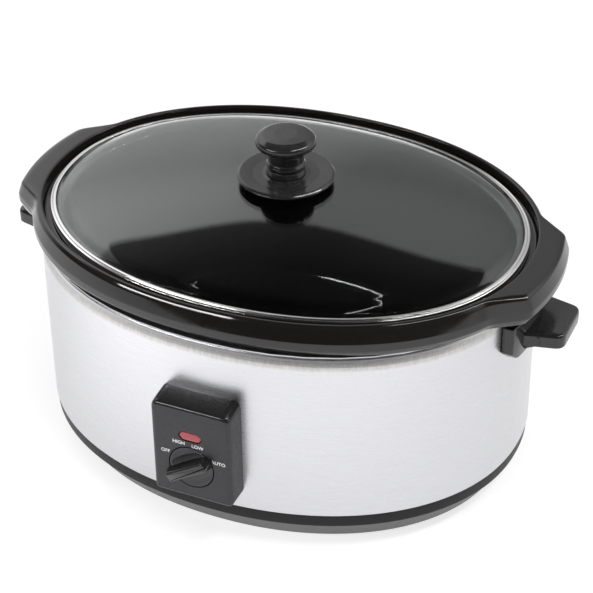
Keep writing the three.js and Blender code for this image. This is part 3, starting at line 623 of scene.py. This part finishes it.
class COOKER_OT_casing(MakePiece, bpy.types.Operator):
    """Make the satin steel casing"""
    bl_idname = "cooker.casing"
    bl_label = "Casing"

    def execute(self, context):
        half, low, top = CASING_HALF, CASING_LOW.z, CASING_HIGH.z
        sheet = 0.8 * MM
        inner = half - 9 * MM
        shell = oval_piece("casing_shell", rounded([
            (half - 5.5 * MM, low), (half, low, 0.7 * MM), (half, top - 7 * MM, 9 * MM),
            (half - 2.3 * MM, top, 2.2 * MM), (inner, top), (inner, top - sheet),
            (half - 3 * MM, top - sheet, 1.6 * MM), (half - sheet, top - 8 * MM, 8 * MM),
            (half - sheet, low + sheet, 0), (half - 5.5 * MM, low + sheet)]), CASING_SPREAD)
        hand_over(paint(shell, "satin_steel"), "root", "outer_casing", "outer_casing")
        return {"FINISHED"}


class COOKER_OT_base(MakePiece, bpy.types.Operator):
    """Make the base's tier and plinth"""
    bl_idname = "cooker.base"
    bl_label = "Base"

    def execute(self, context):
        half = (BASE_HIGH.y - BASE_LOW.y) / 2
        plinth = CASING_HALF - 14 * MM
        step = plinth + 7.5 * MM
        low, lip = BASE_LOW.z, BASE_HIGH.z
        tier_top = CASING_LOW.z - 0.3 * MM
        tier_low = tier_top - 10.2 * MM
        inner = CASING_HALF - 5.8 * MM
        shell = oval_piece("base_shell", rounded([
            (plinth - 20 * MM, low), (plinth, low, 1.6 * MM), (step, tier_low, 0.5 * MM),
            (half, tier_low, 1.4 * MM), (half, tier_top, 1.1 * MM), (inner, tier_top),
            (inner, lip), (inner - 3 * MM, lip), (inner - 3 * MM, tier_top),
            (step - 3 * MM, tier_low), (plinth - 3 * MM, low + 5.5 * MM),
            (plinth - 20 * MM, low + 5.5 * MM)]), CASING_SPREAD)
        hand_over(paint(shell, "base_plastic"), "root", "base_plastic", "base_housing")
        return {"FINISHED"}


class COOKER_OT_crock(MakePiece, bpy.types.Operator):
    """Make the glazed crock with its two lugs"""
    bl_idname = "cooker.crock"
    bl_label = "Crock"

    def execute(self, context):
        s = sizes()
        rim, foot = CROCK_HIGH.z, CROCK_LOW.z
        lip_low = rim - 23 * MM
        inner = LIP_HALF - s.rim_width
        ledge = rim - s.ledge_drop
        mouth = inner - 18 * MM
        body = mouth + s.crock_wall + 1 * MM
        low = body - 9 * MM
        floor = foot + s.crock_wall
        profile = rounded([
            (0, foot), (low, foot, 24 * MM), (body, lip_low - 3 * MM, 4 * MM),
            (body + 3 * MM, lip_low, 1.2 * MM), (LIP_HALF - 3.4 * MM, lip_low, 2.4 * MM),
            (LIP_HALF, lip_low + 5.5 * MM, 4 * MM), (LIP_HALF, rim - 12 * MM, 5 * MM),
            (LIP_HALF - 3.2 * MM, rim - 2.8 * MM, 5.5 * MM), (inner + 3.2 * MM, rim, 2.6 * MM),
            (inner + 0.2 * MM, rim, 1.3 * MM), (inner - 0.4 * MM, ledge, 2.2 * MM),
            (mouth, ledge, 2.6 * MM), (low - s.crock_wall, floor, 19 * MM), (0, floor)], 8)
        pot = oval_piece("crock_pot", profile, CROCK_SPREAD, 320, closed=False,
                         shape=self.lug(s, inner, lip_low))
        hand_over(paint(pot, "black_glaze"), "crock", "crock_glaze", "crock")
        return {"FINISHED"}

    @staticmethod
    def lug(s, inner, lip_low):
        """Moves the outer face of the lip out into a lug at each end."""
        reach = LIP_HALF + CROCK_SPREAD + s.lug_reach
        root_x = oval_x(s.lug_root, LIP_HALF, CROCK_SPREAD)

        def edge(side):
            corner = reach - 6 * MM
            if side < s.lug_half:
                return reach - 6 * MM * (side / s.lug_half) ** 2
            t = (side - s.lug_half) / (s.lug_root - s.lug_half)
            return corner + (root_x - corner) * t

        def soft_edge(side):
            window = [side + k * 0.7 * MM for k in range(-3, 4)]
            gaps = [max(edge(abs(w)) - oval_x(w, LIP_HALF, CROCK_SPREAD), 0.0)
                    if abs(w) < s.lug_root else 0.0 for w in window]
            return sum(gaps) / len(gaps)

        def move(spot, half):
            side = abs(spot.y - MID_Y)
            start = oval_x(side, inner + 1.5 * MM, CROCK_SPREAD)
            if side > s.lug_root + 4 * MM or abs(spot.x) < start or spot.z < lip_low - 0.1 * MM:
                return spot
            t = min(max((abs(spot.x) - start) / (3.4 * MM), 0.0), 1.0)
            weight = t * t * (3 - 2 * t)
            spot.x += math.copysign(soft_edge(side) * weight, spot.x)
            return spot
        return move


class COOKER_OT_lid(MakePiece, bpy.types.Operator):
    """Make the lid's domed glass and its steel band"""
    bl_idname = "cooker.lid"
    bl_label = "Lid"

    def execute(self, context):
        self.glass()
        self.band()
        return {"FINISHED"}

    @staticmethod
    def glass():
        s = sizes()
        top, low = GLASS_HIGH.z, GLASS_LOW.z
        half = (GLASS_HIGH.y - GLASS_LOW.y) / 2
        edge_top = BAND_HIGH.z - 1.1 * MM
        outer = half - 3.2 * MM
        rise = top - edge_top
        brow = 4.8 * MM

        def dome(half_now, drop):
            share = half_now / outer
            fall = (rise - brow) * share ** 2 + brow * share ** 14
            return (half_now, top - drop - fall, CROCK_SPREAD * min(1.0, share * 1.08) ** 2)

        hole = 4.6 * MM
        rings = [hole + (outer - hole) * (k / 30) ** 0.8 for k in range(31)]
        thick = s.glass_thick
        profile = [dome(r, thick) for r in rings[:-3]]
        profile += [(half, low, CROCK_SPREAD), (half, edge_top, CROCK_SPREAD)]
        profile += [dome(r, 0) for r in rings[::-1]]
        glass = oval_piece("lid_dome", profile, CROCK_SPREAD, 224, sharp=50)
        hand_over(paint(glass, "clear_glass"), "lid", "lid_glass", "lid_glass")

    @staticmethod
    def band():
        low, high, half = BAND_LOW.z, BAND_HIGH.z, BAND_HALF
        inner = half - 4.2 * MM
        groove = half - 1.9 * MM
        sheet = 0.7 * MM
        ring = oval_piece("lid_rim", rounded([
            (inner, low), (half, low, 1.6 * MM), (half, high - 0.9 * MM, 1.2 * MM),
            (groove + 0.5 * MM, high - 0.4 * MM, 0.3 * MM), (groove, high - 0.9 * MM, 0.3 * MM),
            (groove - 0.5 * MM, high - 0.2 * MM, 0.4 * MM), (inner, high, 0.3 * MM),
            (inner, high - sheet), (half - sheet, high - 1.6 * MM, 0.4 * MM),
            (half - sheet, low + sheet), (inner, low + sheet)]), CROCK_SPREAD, 256)
        hand_over(paint(ring, "polished_steel"), "lid", "lid_steel", "lid_band")


class COOKER_OT_knob(MakePiece, bpy.types.Operator):
    """Make the lid's knob and the skirt under it"""
    bl_idname = "cooker.knob"
    bl_label = "Lid knob"

    def execute(self, context):
        s = sizes()
        head, neck, low = s.head_radius, s.neck_radius, KNOB_LOW.z
        hole = 2.55 * MM
        heights = [(neck + 1.2 * MM, 0, 0.5), (neck - 0.6 * MM, 4.2, 2.5), (neck + 0.8 * MM, 6.2, 0.8),
                   (neck + 0.8 * MM, 7.6, 0.8), (neck - 0.7 * MM, 9.4, 1.5), (neck - 0.4 * MM, 17.0, 4.0),
                   (neck + 3.4 * MM, 20.6, 2.5), (head, 22.6, 2.2), (head, 27.4, 4.0),
                   (head * 0.78, 30.2, 8.0), (head * 0.38, 31.0, 8.0)]
        profile = [(hole, low)] + rounded(
            [(hole, low)] + [(r, low + h * MM, c * MM) for r, h, c in heights] + [(0, KNOB_HIGH.z)], 7)[1:]
        profile += [(0, KNOB_HIGH.z - 9 * MM), (hole, KNOB_HIGH.z - 9 * MM)]
        knob = round_piece("knob_grip", profile, 112, closed=True, sharp=60)
        hand_over(paint(knob, "black_phenolic"), "lid", "phenolic", "lid_knob")

        radius, low, top = SKIRT_HIGH.x, SKIRT_LOW.z, SKIRT_HIGH.z
        plate = round_piece("knob_plate", rounded([
            (hole, low), (radius - 2.6 * MM, low, 1.2 * MM), (radius, low + 1.9 * MM, 1.5 * MM),
            (radius - 2.2 * MM, top - 0.1 * MM, 1.6 * MM), (24 * MM, top - 0.8 * MM, 6 * MM),
            (neck + 4 * MM, top - 0.6 * MM, 2 * MM), (neck + 1.6 * MM, top, 0.4 * MM), (hole, top)], 7),
            128, sharp=60)
        hand_over(paint(plate, "black_phenolic"), "lid", "phenolic", "knob_skirt")
        return {"FINISHED"}


class COOKER_OT_handles(MakePiece, bpy.types.Operator):
    """Make the two side handles with their mounting blocks"""
    bl_idname = "cooker.handles"
    bl_label = "Side handles"

    def execute(self, context):
        for side, turn in (("right", 0.0), ("left", math.pi)):
            pieces = [self.plate(), self.block(), *self.ribs()]
            for piece in pieces:
                paint(piece, "black_phenolic")
            handle = merge(f"{side}_grip", pieces)
            pivot = Matrix.Translation((0, MID_Y, 0))
            handle.data.transform(pivot @ Matrix.Rotation(turn, 4, "Z") @ pivot.inverted())
            hand_over(handle, "root", "phenolic", f"{side}_handle")
        return {"FINISHED"}

    @staticmethod
    def plate():
        """Trapezoid grip with a turned-down lip, hollow underneath."""
        s = sizes()
        root, tip = CASING_HIGH.x + 0.6 * MM, HANDLE_HIGH.x
        plan = outline([(root, -s.handle_root, 0.4 * MM), (tip, -s.handle_tip, 6.5 * MM),
                        (tip, s.handle_tip, 6.5 * MM), (root, s.handle_root, 0.4 * MM)], 8)
        top, low = s.handle_top, s.handle_top - s.handle_lip
        skin = 3.2 * MM

        def loop(inset, height):
            return [(p.x if p.x < root + 0.5 * MM else p.x, p.y + MID_Y, height)
                    for p in inset_outline(plan, inset)]
        edge = [(2.9, 0.0), (1.7, 0.25), (0.8, 0.8), (0.25, 1.7), (0.0, 3.0)]
        layers = [loop(skin * 1.2, top - skin), loop(skin, low + 3 * MM), loop(skin, low + 0.4 * MM),
                  loop(skin - 0.4 * MM, low), loop(0.7 * MM, low), loop(0.1 * MM, low + 0.7 * MM)]
        layers += [loop(i * MM, top - h * MM) for i, h in edge[::-1]]
        return stacked("plate", layers, 30)

    @staticmethod
    def block():
        """Block that follows the casing's end, its lower corners cut off."""
        half = (HANDLE_HIGH.y - HANDLE_LOW.y) / 2
        low, top = HANDLE_LOW.z, HANDLE_HIGH.z
        thick = sizes().mount_thick
        near = CASING_HALF + 0.3 * MM
        stations = 28
        layers = []
        for k in range(stations + 1):
            y = -half + 2 * half * k / stations
            cut = max(abs(y) - (half - 7 * MM), 0.0)
            bottom = low + cut
            x0 = oval_x(y, near, CASING_SPREAD)
            x1 = oval_x(y, near + thick, CASING_SPREAD)
            section = [(x0, bottom), (x1, bottom), (x1, top), (x0, top)]
            layers.append([(x, y + MID_Y, z) for x, z in section])
        piece = stacked("block", layers, 30)
        apply_bevel(piece, 1.1 * MM, 3, 40)
        return piece

    @staticmethod
    def ribs():
        """Two gussets that carry the plate."""
        s = sizes()
        made = []
        start = CASING_HIGH.x + s.mount_thick - 2 * MM
        out = start + 11 * MM
        under = s.handle_top - s.handle_lip
        side_view = [(start, HANDLE_LOW.z + 3 * MM), (out, under + 2 * MM), (out, s.handle_top - 2.5 * MM),
                     (start, s.handle_top - 2.5 * MM)]
        for side in (-1, 1):
            y = side * (s.handle_root - 5 * MM) + MID_Y
            layers = [[(x, y + w, z) for x, z in side_view] for w in (-2 * MM, 2 * MM)]
            rib = stacked("rib", layers, 30)
            apply_bevel(rib, 0.6 * MM, 2, 40)
            made.append(rib)
        return made


class COOKER_OT_panel(MakePiece, bpy.types.Operator):
    """Make the control panel, its lens and its dial markings"""
    bl_idname = "cooker.panel"
    bl_label = "Control panel"

    def execute(self, context):
        s = sizes()
        face = PANEL_LOW.y
        body = self.body(s, face)
        # The walls of the dial well and the lens pocket take the near-black recess finish: painted shade in the
        # gaps round the dial and lens.
        cut_with(body, paint(self.well(s, face), "recess_painted_shade"))
        cut_with(body, paint(stacked("lens_pocket", [
            self.six_sided(0.55 * MM, face + 2.2 * MM), self.six_sided(0.55 * MM, face - 1 * MM)]),
            "recess_painted_shade"))
        hand_over(body, "root", "panel_plastic", "control_panel")
        gem = stacked("lens_gem", [
            self.six_sided(-0.1 * MM, face + 2.1 * MM), self.six_sided(-0.1 * MM, face + 0.5 * MM),
            self.six_sided(-0.35 * MM, face + 0.3 * MM), self.six_sided(-0.9 * MM, face + 0.2 * MM)], 40)
        hand_over(paint(gem, "red_lens"), "root", "red_lens", "indicator_lens")
        self.marks(face)
        return {"FINISHED"}

    @staticmethod
    def body(s, face):
        """Block with a satin front and a gloss top that runs over its front edge."""
        half, back = PANEL_HIGH.x, CASING_LOW.y + 3.6 * MM
        low, top = PANEL_LOW.z, PANEL_HIGH.z
        front = outline([(-half, low, 4 * MM), (half, low, 4 * MM), (half, top, 7 * MM),
                         (-half, top, 7 * MM)], 10)
        edge = s.panel_edge

        def loop(inset, y):
            lean = 2.5 * MM * ((back - y) / (back - face)) ** 2
            return [(p.x, y, p.y - lean * max(p.y - middle, 0) / (top - middle))
                    for p in inset_outline(front, inset)]
        middle = (low + top) / 2
        turns = [math.radians(15 * k) for k in range(7)]
        straight = face + edge - back
        layers = [loop(0.0, back + straight * k / 6) for k in range(6)]
        layers += [loop(edge * (1 - math.cos(t)), face + edge * (1 - math.sin(t))) for t in turns]
        made = stacked("panel_body", layers, 35)
        paint(made, "panel_gloss", "panel_face", "recess_painted_shade")
        for polygon in made.data.polygons:
            polygon.material_index = 0 if polygon.normal.z > 0.3 else 1
        return made

    @staticmethod
    def well(s, face):
        """Shape of the round well that the dial sits in."""
        radius = s.dial_radius + 0.8 * MM
        return stacked("dial_well", [
            [(radius * math.cos(FULL_TURN * k / 96), y, DIAL_CENTRE.z + radius * math.sin(FULL_TURN * k / 96))
             for k in range(96)] for y in (face + s.dial_well, face - 1 * MM)])

    @staticmethod
    def six_sided(grow, y):
        """Loop of the lens's long six-sided outline."""
        tall = (LENS_HIGH.z - LENS_LOW.z) / 2 - 0.9 * MM
        mid = (LENS_HIGH.z + LENS_LOW.z) / 2
        w, h = LENS_HIGH.x - 0.9 * MM + grow, tall + grow
        six = outline([(-w, 0, 1.6 * MM), (-w + h * 0.8, -h, 1.6 * MM), (w - h * 0.8, -h, 1.6 * MM),
                       (w, 0, 1.6 * MM), (w - h * 0.8, h, 1.6 * MM), (-w + h * 0.8, h, 1.6 * MM)], 5)
        return [(p.x, y, p.y + mid) for p in six]

    @staticmethod
    def marks(face):
        """Words for the four settings round the dial: across and up from its centre."""
        words = (("AUTO", 20.9, 9.4), ("LOW", 5.4, 18.9), ("HIGH", -9.0, 19.6), ("OFF", -19.6, 9.2))
        for word, across, up in words:
            text = bpy.data.curves.new(f"mark_{word.lower()}", "FONT")
            text.body = word
            text.size = 3.9 * MM
            text.align_x = "CENTER"
            text.align_y = "CENTER"
            text.extrude = 0.02 * MM
            text.offset = 0.07 * MM
            made = bpy.data.objects.new(f"mark_{word.lower()}", text)
            bpy.context.scene.collection.objects.link(made)
            spot = Vector((across * MM, face - 0.03 * MM, DIAL_CENTRE.z + up * MM))
            made.matrix_world = Matrix.Translation(spot) @ Matrix.Rotation(math.pi / 2, 4, "X")
            bpy.context.view_layer.update()
            mesh = bpy.data.meshes.new_from_object(
                made.evaluated_get(bpy.context.evaluated_depsgraph_get()))
            mesh.transform(made.matrix_world)
            print_name = f"setting_{word.lower()}"
            piece = bpy.data.objects.new(print_name, mesh)
            bpy.context.scene.collection.objects.link(piece)
            bpy.data.objects.remove(made, do_unlink=True)
            hand_over(paint(piece, "white_print"), "root", "panel_plastic")


class COOKER_OT_dial(MakePiece, bpy.types.Operator):
    """Make the dial's disc and grip bar"""
    bl_idname = "cooker.dial"
    bl_label = "Dial"

    def execute(self, context):
        s = sizes()
        disc = self.disc(s)
        bar = self.bar(s)
        knob = merge("dial_grip", [disc, bar])
        tilt = Matrix.Rotation(math.radians(-32), 4, "Y")
        stand = Matrix.Rotation(math.pi / 2, 4, "X")
        knob.data.transform(Matrix.Translation(DIAL_CENTRE) @ tilt @ stand)
        hand_over(knob, "selector", "phenolic", "selector_knob")
        return {"FINISHED"}

    @staticmethod
    def disc(s):
        """Disc with a finger scoop on each side of the bar. Its face is +Z while it is made."""
        radius = s.dial_radius
        low, top = -3.1 * MM, 0.2 * MM
        nest, ceiling = 8.5 * MM, -1.05 * MM
        bm = bmesh.new()
        steps = 96
        fractions = [k / 14 for k in range(1, 15)]

        def height(x, y):
            scoop = (x / (15.5 * MM)) ** 2 + ((abs(y) - 6.2 * MM) / (5.0 * MM)) ** 2
            dip = max(1 - scoop, 0.0)
            return top - 0.9 * MM * dip ** 0.7

        def ring(r, height_at):
            points = [(r * math.cos(FULL_TURN * k / steps), r * math.sin(FULL_TURN * k / steps))
                      for k in range(steps)]
            return [bm.verts.new((x, y, height_at(x, y))) for x, y in points]
        centre = bm.verts.new((0, 0, height(0, 0)))
        face_radius = radius - 0.7 * MM
        rings = [ring(face_radius * share, height) for share in fractions]
        for r, z in ((radius - 0.15 * MM, top - 0.12 * MM), (radius, top - 0.4 * MM), (radius, low),
                     (nest, low), (nest, ceiling)):
            rings.append(ring(r, lambda x, y, level=z: level))
        for k in range(steps):
            n = (k + 1) % steps
            bm.faces.new((centre, rings[0][k], rings[0][n]))
            for inner, outer in zip(rings, rings[1:]):
                bm.faces.new((inner[k], outer[k], outer[n], inner[n]))
        bm.faces.new(rings[-1])
        disc = finish_mesh("disc", bm, 40)
        paint(disc, "panel_face", "black_phenolic")
        # The scoops take the gloss black phenolic; the face's outer 0.5 mm and the disc's edge are painted black
        # as painted shade of the gap round the dial.
        for polygon in disc.data.polygons:
            x, y = polygon.center.x, polygon.center.y
            inside = (x / (15.5 * MM)) ** 2 + ((abs(y) - 6.2 * MM) / (5.0 * MM)) ** 2 < 1
            polygon.material_index = 1 if inside or math.hypot(x, y) > radius - 0.5 * MM else 0
        return disc

    @staticmethod
    def bar(s):
        """Grip bar with one pointed end, narrower at its top."""
        half, wide = s.grip_length / 2, s.grip_width / 2
        low, top = 0.22 * MM, 7.1 * MM

        def loop(inset, z):
            plan = outline([(-half, -wide, 2.6 * MM), (half - wide * 0.9, -wide, 2 * MM), (half, 0, 1.6 * MM),
                            (half - wide * 0.9, wide, 2 * MM), (-half, wide, 2.6 * MM)], 5)
            return [(p.x, p.y, z) for p in inset_outline(plan, inset)]
        bar = stacked("bar", [loop(0, low), loop(0.2 * MM, low + 1.5 * MM), loop(1.0 * MM, top - 2.0 * MM),
                              loop(1.3 * MM, top - 1.0 * MM), loop(1.8 * MM, top - 0.35 * MM),
                              loop(2.6 * MM, top)], 40)
        return paint(bar, "black_phenolic")


class COOKER_OT_inner(MakePiece, bpy.types.Operator):
    """Give the frame's own fasteners, wiring and heating parts their finishes"""
    bl_idname = "cooker.inner"
    bl_label = "Inner parts"

    by_slot = {
        "outer_casing": "satin_steel", "base_plastic": "base_plastic", "plain_steel": "mill_steel",
        "foot_rubber": "soft_rubber", "wool": "mineral_wool", "white_ceramic": "white_ceramic",
        "dark_plastic": "dark_plastic", "earth_brass": "brass", "brown_lead": "brown_sleeve",
        "blue_lead": "blue_sleeve", "phenolic": "black_phenolic", "panel_plastic": "panel_face",
        "red_lens": "red_lens", "crock_glaze": "black_glaze", "lid_glass": "clear_glass",
        "lid_steel": "polished_steel",
    }

    def execute(self, context):
        for part in frame["record"]["subparts"]:
            node = frame["nodes"][part["node"]]
            for place in node.material_slots:
                place.material = finish(self.by_slot[part["material_slot"]])
            node.data.shade_smooth()
            node.data.set_sharp_from_angle(angle=math.radians(32))
        return {"FINISHED"}


class COOKER_OT_stage(MakePiece, bpy.types.Operator):
    """Make the floor, the studio lights and the camera"""
    bl_idname = "cooker.stage"
    bl_label = "Studio"

    def execute(self, context):
        self.camera(context)
        self.floor()
        self.sky(context)
        self.soft_light("key_left", (-1.10, -1.58, 1.25), (0.51, -0.27, 0.15), (1.3, 0.15), 14)
        self.soft_light("key_right", (1.17, 0.11, 1.80), (0.27, 0.67, -0.25), (1.7, 0.16), 18)
        self.soft_light("overhead", (0.1, 0.1, 2.6), (1, 0, 0), (3.4, 3.4), 46, glossy=False)
        context.scene.view_settings.view_transform = "Standard"
        return {"FINISHED"}

    @staticmethod
    def camera(context):
        """Camera aimed at the cooker's middle from the front right and above."""
        azimuth, elevation, roll = (math.radians(v) for v in (24.11, 34.42, -0.71))
        distance, focal_length = 1.43073, 116.22
        aim = Vector((5.68 * MM, MID_Y + 2.54 * MM, 111.62 * MM))
        back = Vector((math.sin(azimuth) * math.cos(elevation),
                       -math.cos(azimuth) * math.cos(elevation), math.sin(elevation)))
        level = Vector((math.cos(azimuth), math.sin(azimuth), 0))
        up = back.cross(level)
        right = level * math.cos(roll) + up * math.sin(roll)
        up = back.cross(right)
        lens = bpy.data.cameras.new("camera")
        lens.lens = focal_length
        lens.sensor_width = 36.0
        lens.clip_start = 0.05
        camera = bpy.data.objects.new("camera", lens)
        turn = Matrix((right, up, back)).transposed().to_4x4()
        camera.matrix_world = Matrix.Translation(aim + back * distance) @ turn
        context.scene.collection.objects.link(camera)
        context.scene.camera = camera

    @staticmethod
    def floor():
        """Pale floor with a soft glow that is strongest in front of the cooker's left side."""
        bm = bmesh.new()
        bmesh.ops.create_grid(bm, x_segments=8, y_segments=8, size=9.0)
        floor = finish_mesh("floor", bm)
        made = Finish("floor_card", finishes().floor, 0.0, 0.85)
        made.vary_colour(shade(finishes().floor, 0.992), finishes().floor, 3.0)
        made.shader.inputs["Specular IOR Level"].default_value = 0.1
        made.shader.inputs["Emission Color"].default_value = (1.0, 1.0, 1.0, 1.0)
        near = made.node("ShaderNodeVectorMath", operation="DISTANCE")
        near.inputs[1].default_value = (-0.30, -0.34, 0.0)
        made.link(made.where, near.inputs[0])
        split = made.node("ShaderNodeSeparateXYZ")
        made.link(made.where, split.inputs[0])
        glow = made.node("ShaderNodeMath", operation="ADD")
        made.link(made.between(near.outputs["Value"], 0.34, 0.0, 0.05, 0.30), glow.inputs[0])
        made.link(made.between(split.outputs["Y"], 0.86, 0.56, -0.30, 0.15), glow.inputs[1])
        made.link(glow.outputs[0], made.shader.inputs["Emission Strength"])
        floor.data.materials.append(made.material)

    @staticmethod
    def sky(context):
        """Room that brightens up to halfway overhead and at the sides, dark above that and in front."""
        world = bpy.data.worlds.new("room")
        context.scene.world = world
        world.use_nodes = True
        tree = world.node_tree
        shader = tree.nodes["Background"]
        where = tree.nodes.new("ShaderNodeTexCoord")
        split = tree.nodes.new("ShaderNodeSeparateXYZ")
        ramp = tree.nodes.new("ShaderNodeValToRGB")
        side = tree.nodes.new("ShaderNodeMapRange")
        dim = tree.nodes.new("ShaderNodeVectorMath")
        across = tree.nodes.new("ShaderNodeMath")
        wings = tree.nodes.new("ShaderNodeMapRange")
        both = tree.nodes.new("ShaderNodeMath")
        tree.links.new(where.outputs["Generated"], split.inputs[0])
        tree.links.new(split.outputs["Z"], ramp.inputs["Fac"])
        tree.links.new(split.outputs["Y"], side.inputs["Value"])
        dim.operation = "SCALE"
        tree.links.new(ramp.outputs["Color"], dim.inputs[0])
        across.operation = "ABSOLUTE"
        both.operation = "MULTIPLY"
        tree.links.new(split.outputs["X"], across.inputs[0])
        tree.links.new(across.outputs[0], wings.inputs["Value"])
        for ranged, limits in ((side, (-0.15, 0.2, 0.05, 1.0)), (wings, (0.25, 0.75, 1.0, 2.9))):
            for key, value in zip(("From Min", "From Max", "To Min", "To Max"), limits):
                ranged.inputs[key].default_value = value
        tree.links.new(side.outputs["Result"], both.inputs[0])
        tree.links.new(wings.outputs["Result"], both.inputs[1])
        tree.links.new(both.outputs[0], dim.inputs["Scale"])
        tree.links.new(dim.outputs["Vector"], shader.inputs["Color"])
        levels = ((0.0, 0.3), (0.4, 0.42), (0.58, 0.68), (0.71, 0.78), (0.725, 0.1), (0.85, 0.05),
                  (1.0, 0.04))
        elements = ramp.color_ramp.elements
        while len(elements) < len(levels):
            elements.new(0.5)
        for element, (place, level) in zip(elements, levels):
            element.position = place
            element.color = (level, level, level * 1.01, 1.0)
        shader.inputs["Strength"].default_value = 1.0

    @staticmethod
    def soft_light(name, place, along, size, watts, glossy=True):
        """Rectangular light that faces the cooker, its long side lying along a direction."""
        data = bpy.data.lights.new(name, "AREA")
        data.shape = "RECTANGLE"
        data.size, data.size_y = size
        data.energy = watts
        lamp = bpy.data.objects.new(name, data)
        middle = Vector((0, 0, 0.15))
        away = (Vector(place) - middle).normalized()
        side = Vector(along)
        side = (side - away * side.dot(away)).normalized()
        turn = Matrix((side, away.cross(side), away)).transposed().to_4x4()
        lamp.matrix_world = Matrix.Translation(place) @ turn
        lamp.visible_glossy = glossy
        lamp.visible_transmission = glossy
        lamp.visible_camera = False
        bpy.context.scene.collection.objects.link(lamp)


class COOKER_PT_sidebar(bpy.types.Panel):
    """Lists the pieces and their settings"""
    bl_idname = "COOKER_PT_sidebar"
    bl_label = "Slow cooker"
    bl_space_type = "VIEW_3D"
    bl_region_type = "UI"
    bl_category = "Cooker"

    def draw(self, context):
        column = self.layout.column(align=True)
        for operator in OPERATORS:
            column.operator(operator.bl_idname)
        for group in (context.scene.cooker_sizes, context.scene.cooker_finishes):
            box = self.layout.box()
            for name in group.bl_rna.properties.keys():
                if name not in {"rna_type", "name"}:
                    box.prop(group, name)


OPERATORS = (COOKER_OT_stage, COOKER_OT_inner, COOKER_OT_casing, COOKER_OT_base, COOKER_OT_crock,
             COOKER_OT_lid, COOKER_OT_knob, COOKER_OT_handles, COOKER_OT_panel, COOKER_OT_dial)
CLASSES = (CookerSizes, CookerFinishes, *OPERATORS, COOKER_PT_sidebar)


def register():
    for cls in CLASSES:
        bpy.utils.register_class(cls)
    bpy.types.Scene.cooker_sizes = bpy.props.PointerProperty(type=CookerSizes)
    bpy.types.Scene.cooker_finishes = bpy.props.PointerProperty(type=CookerFinishes)


def unregister():
    del bpy.types.Scene.cooker_finishes
    del bpy.types.Scene.cooker_sizes
    for cls in reversed(CLASSES):
        bpy.utils.unregister_class(cls)


def main():
    register()
    for operator in OPERATORS:
        group, name = operator.bl_idname.split(".")
        getattr(getattr(bpy.ops, group), name)()


if __name__ == "__main__":
    main()
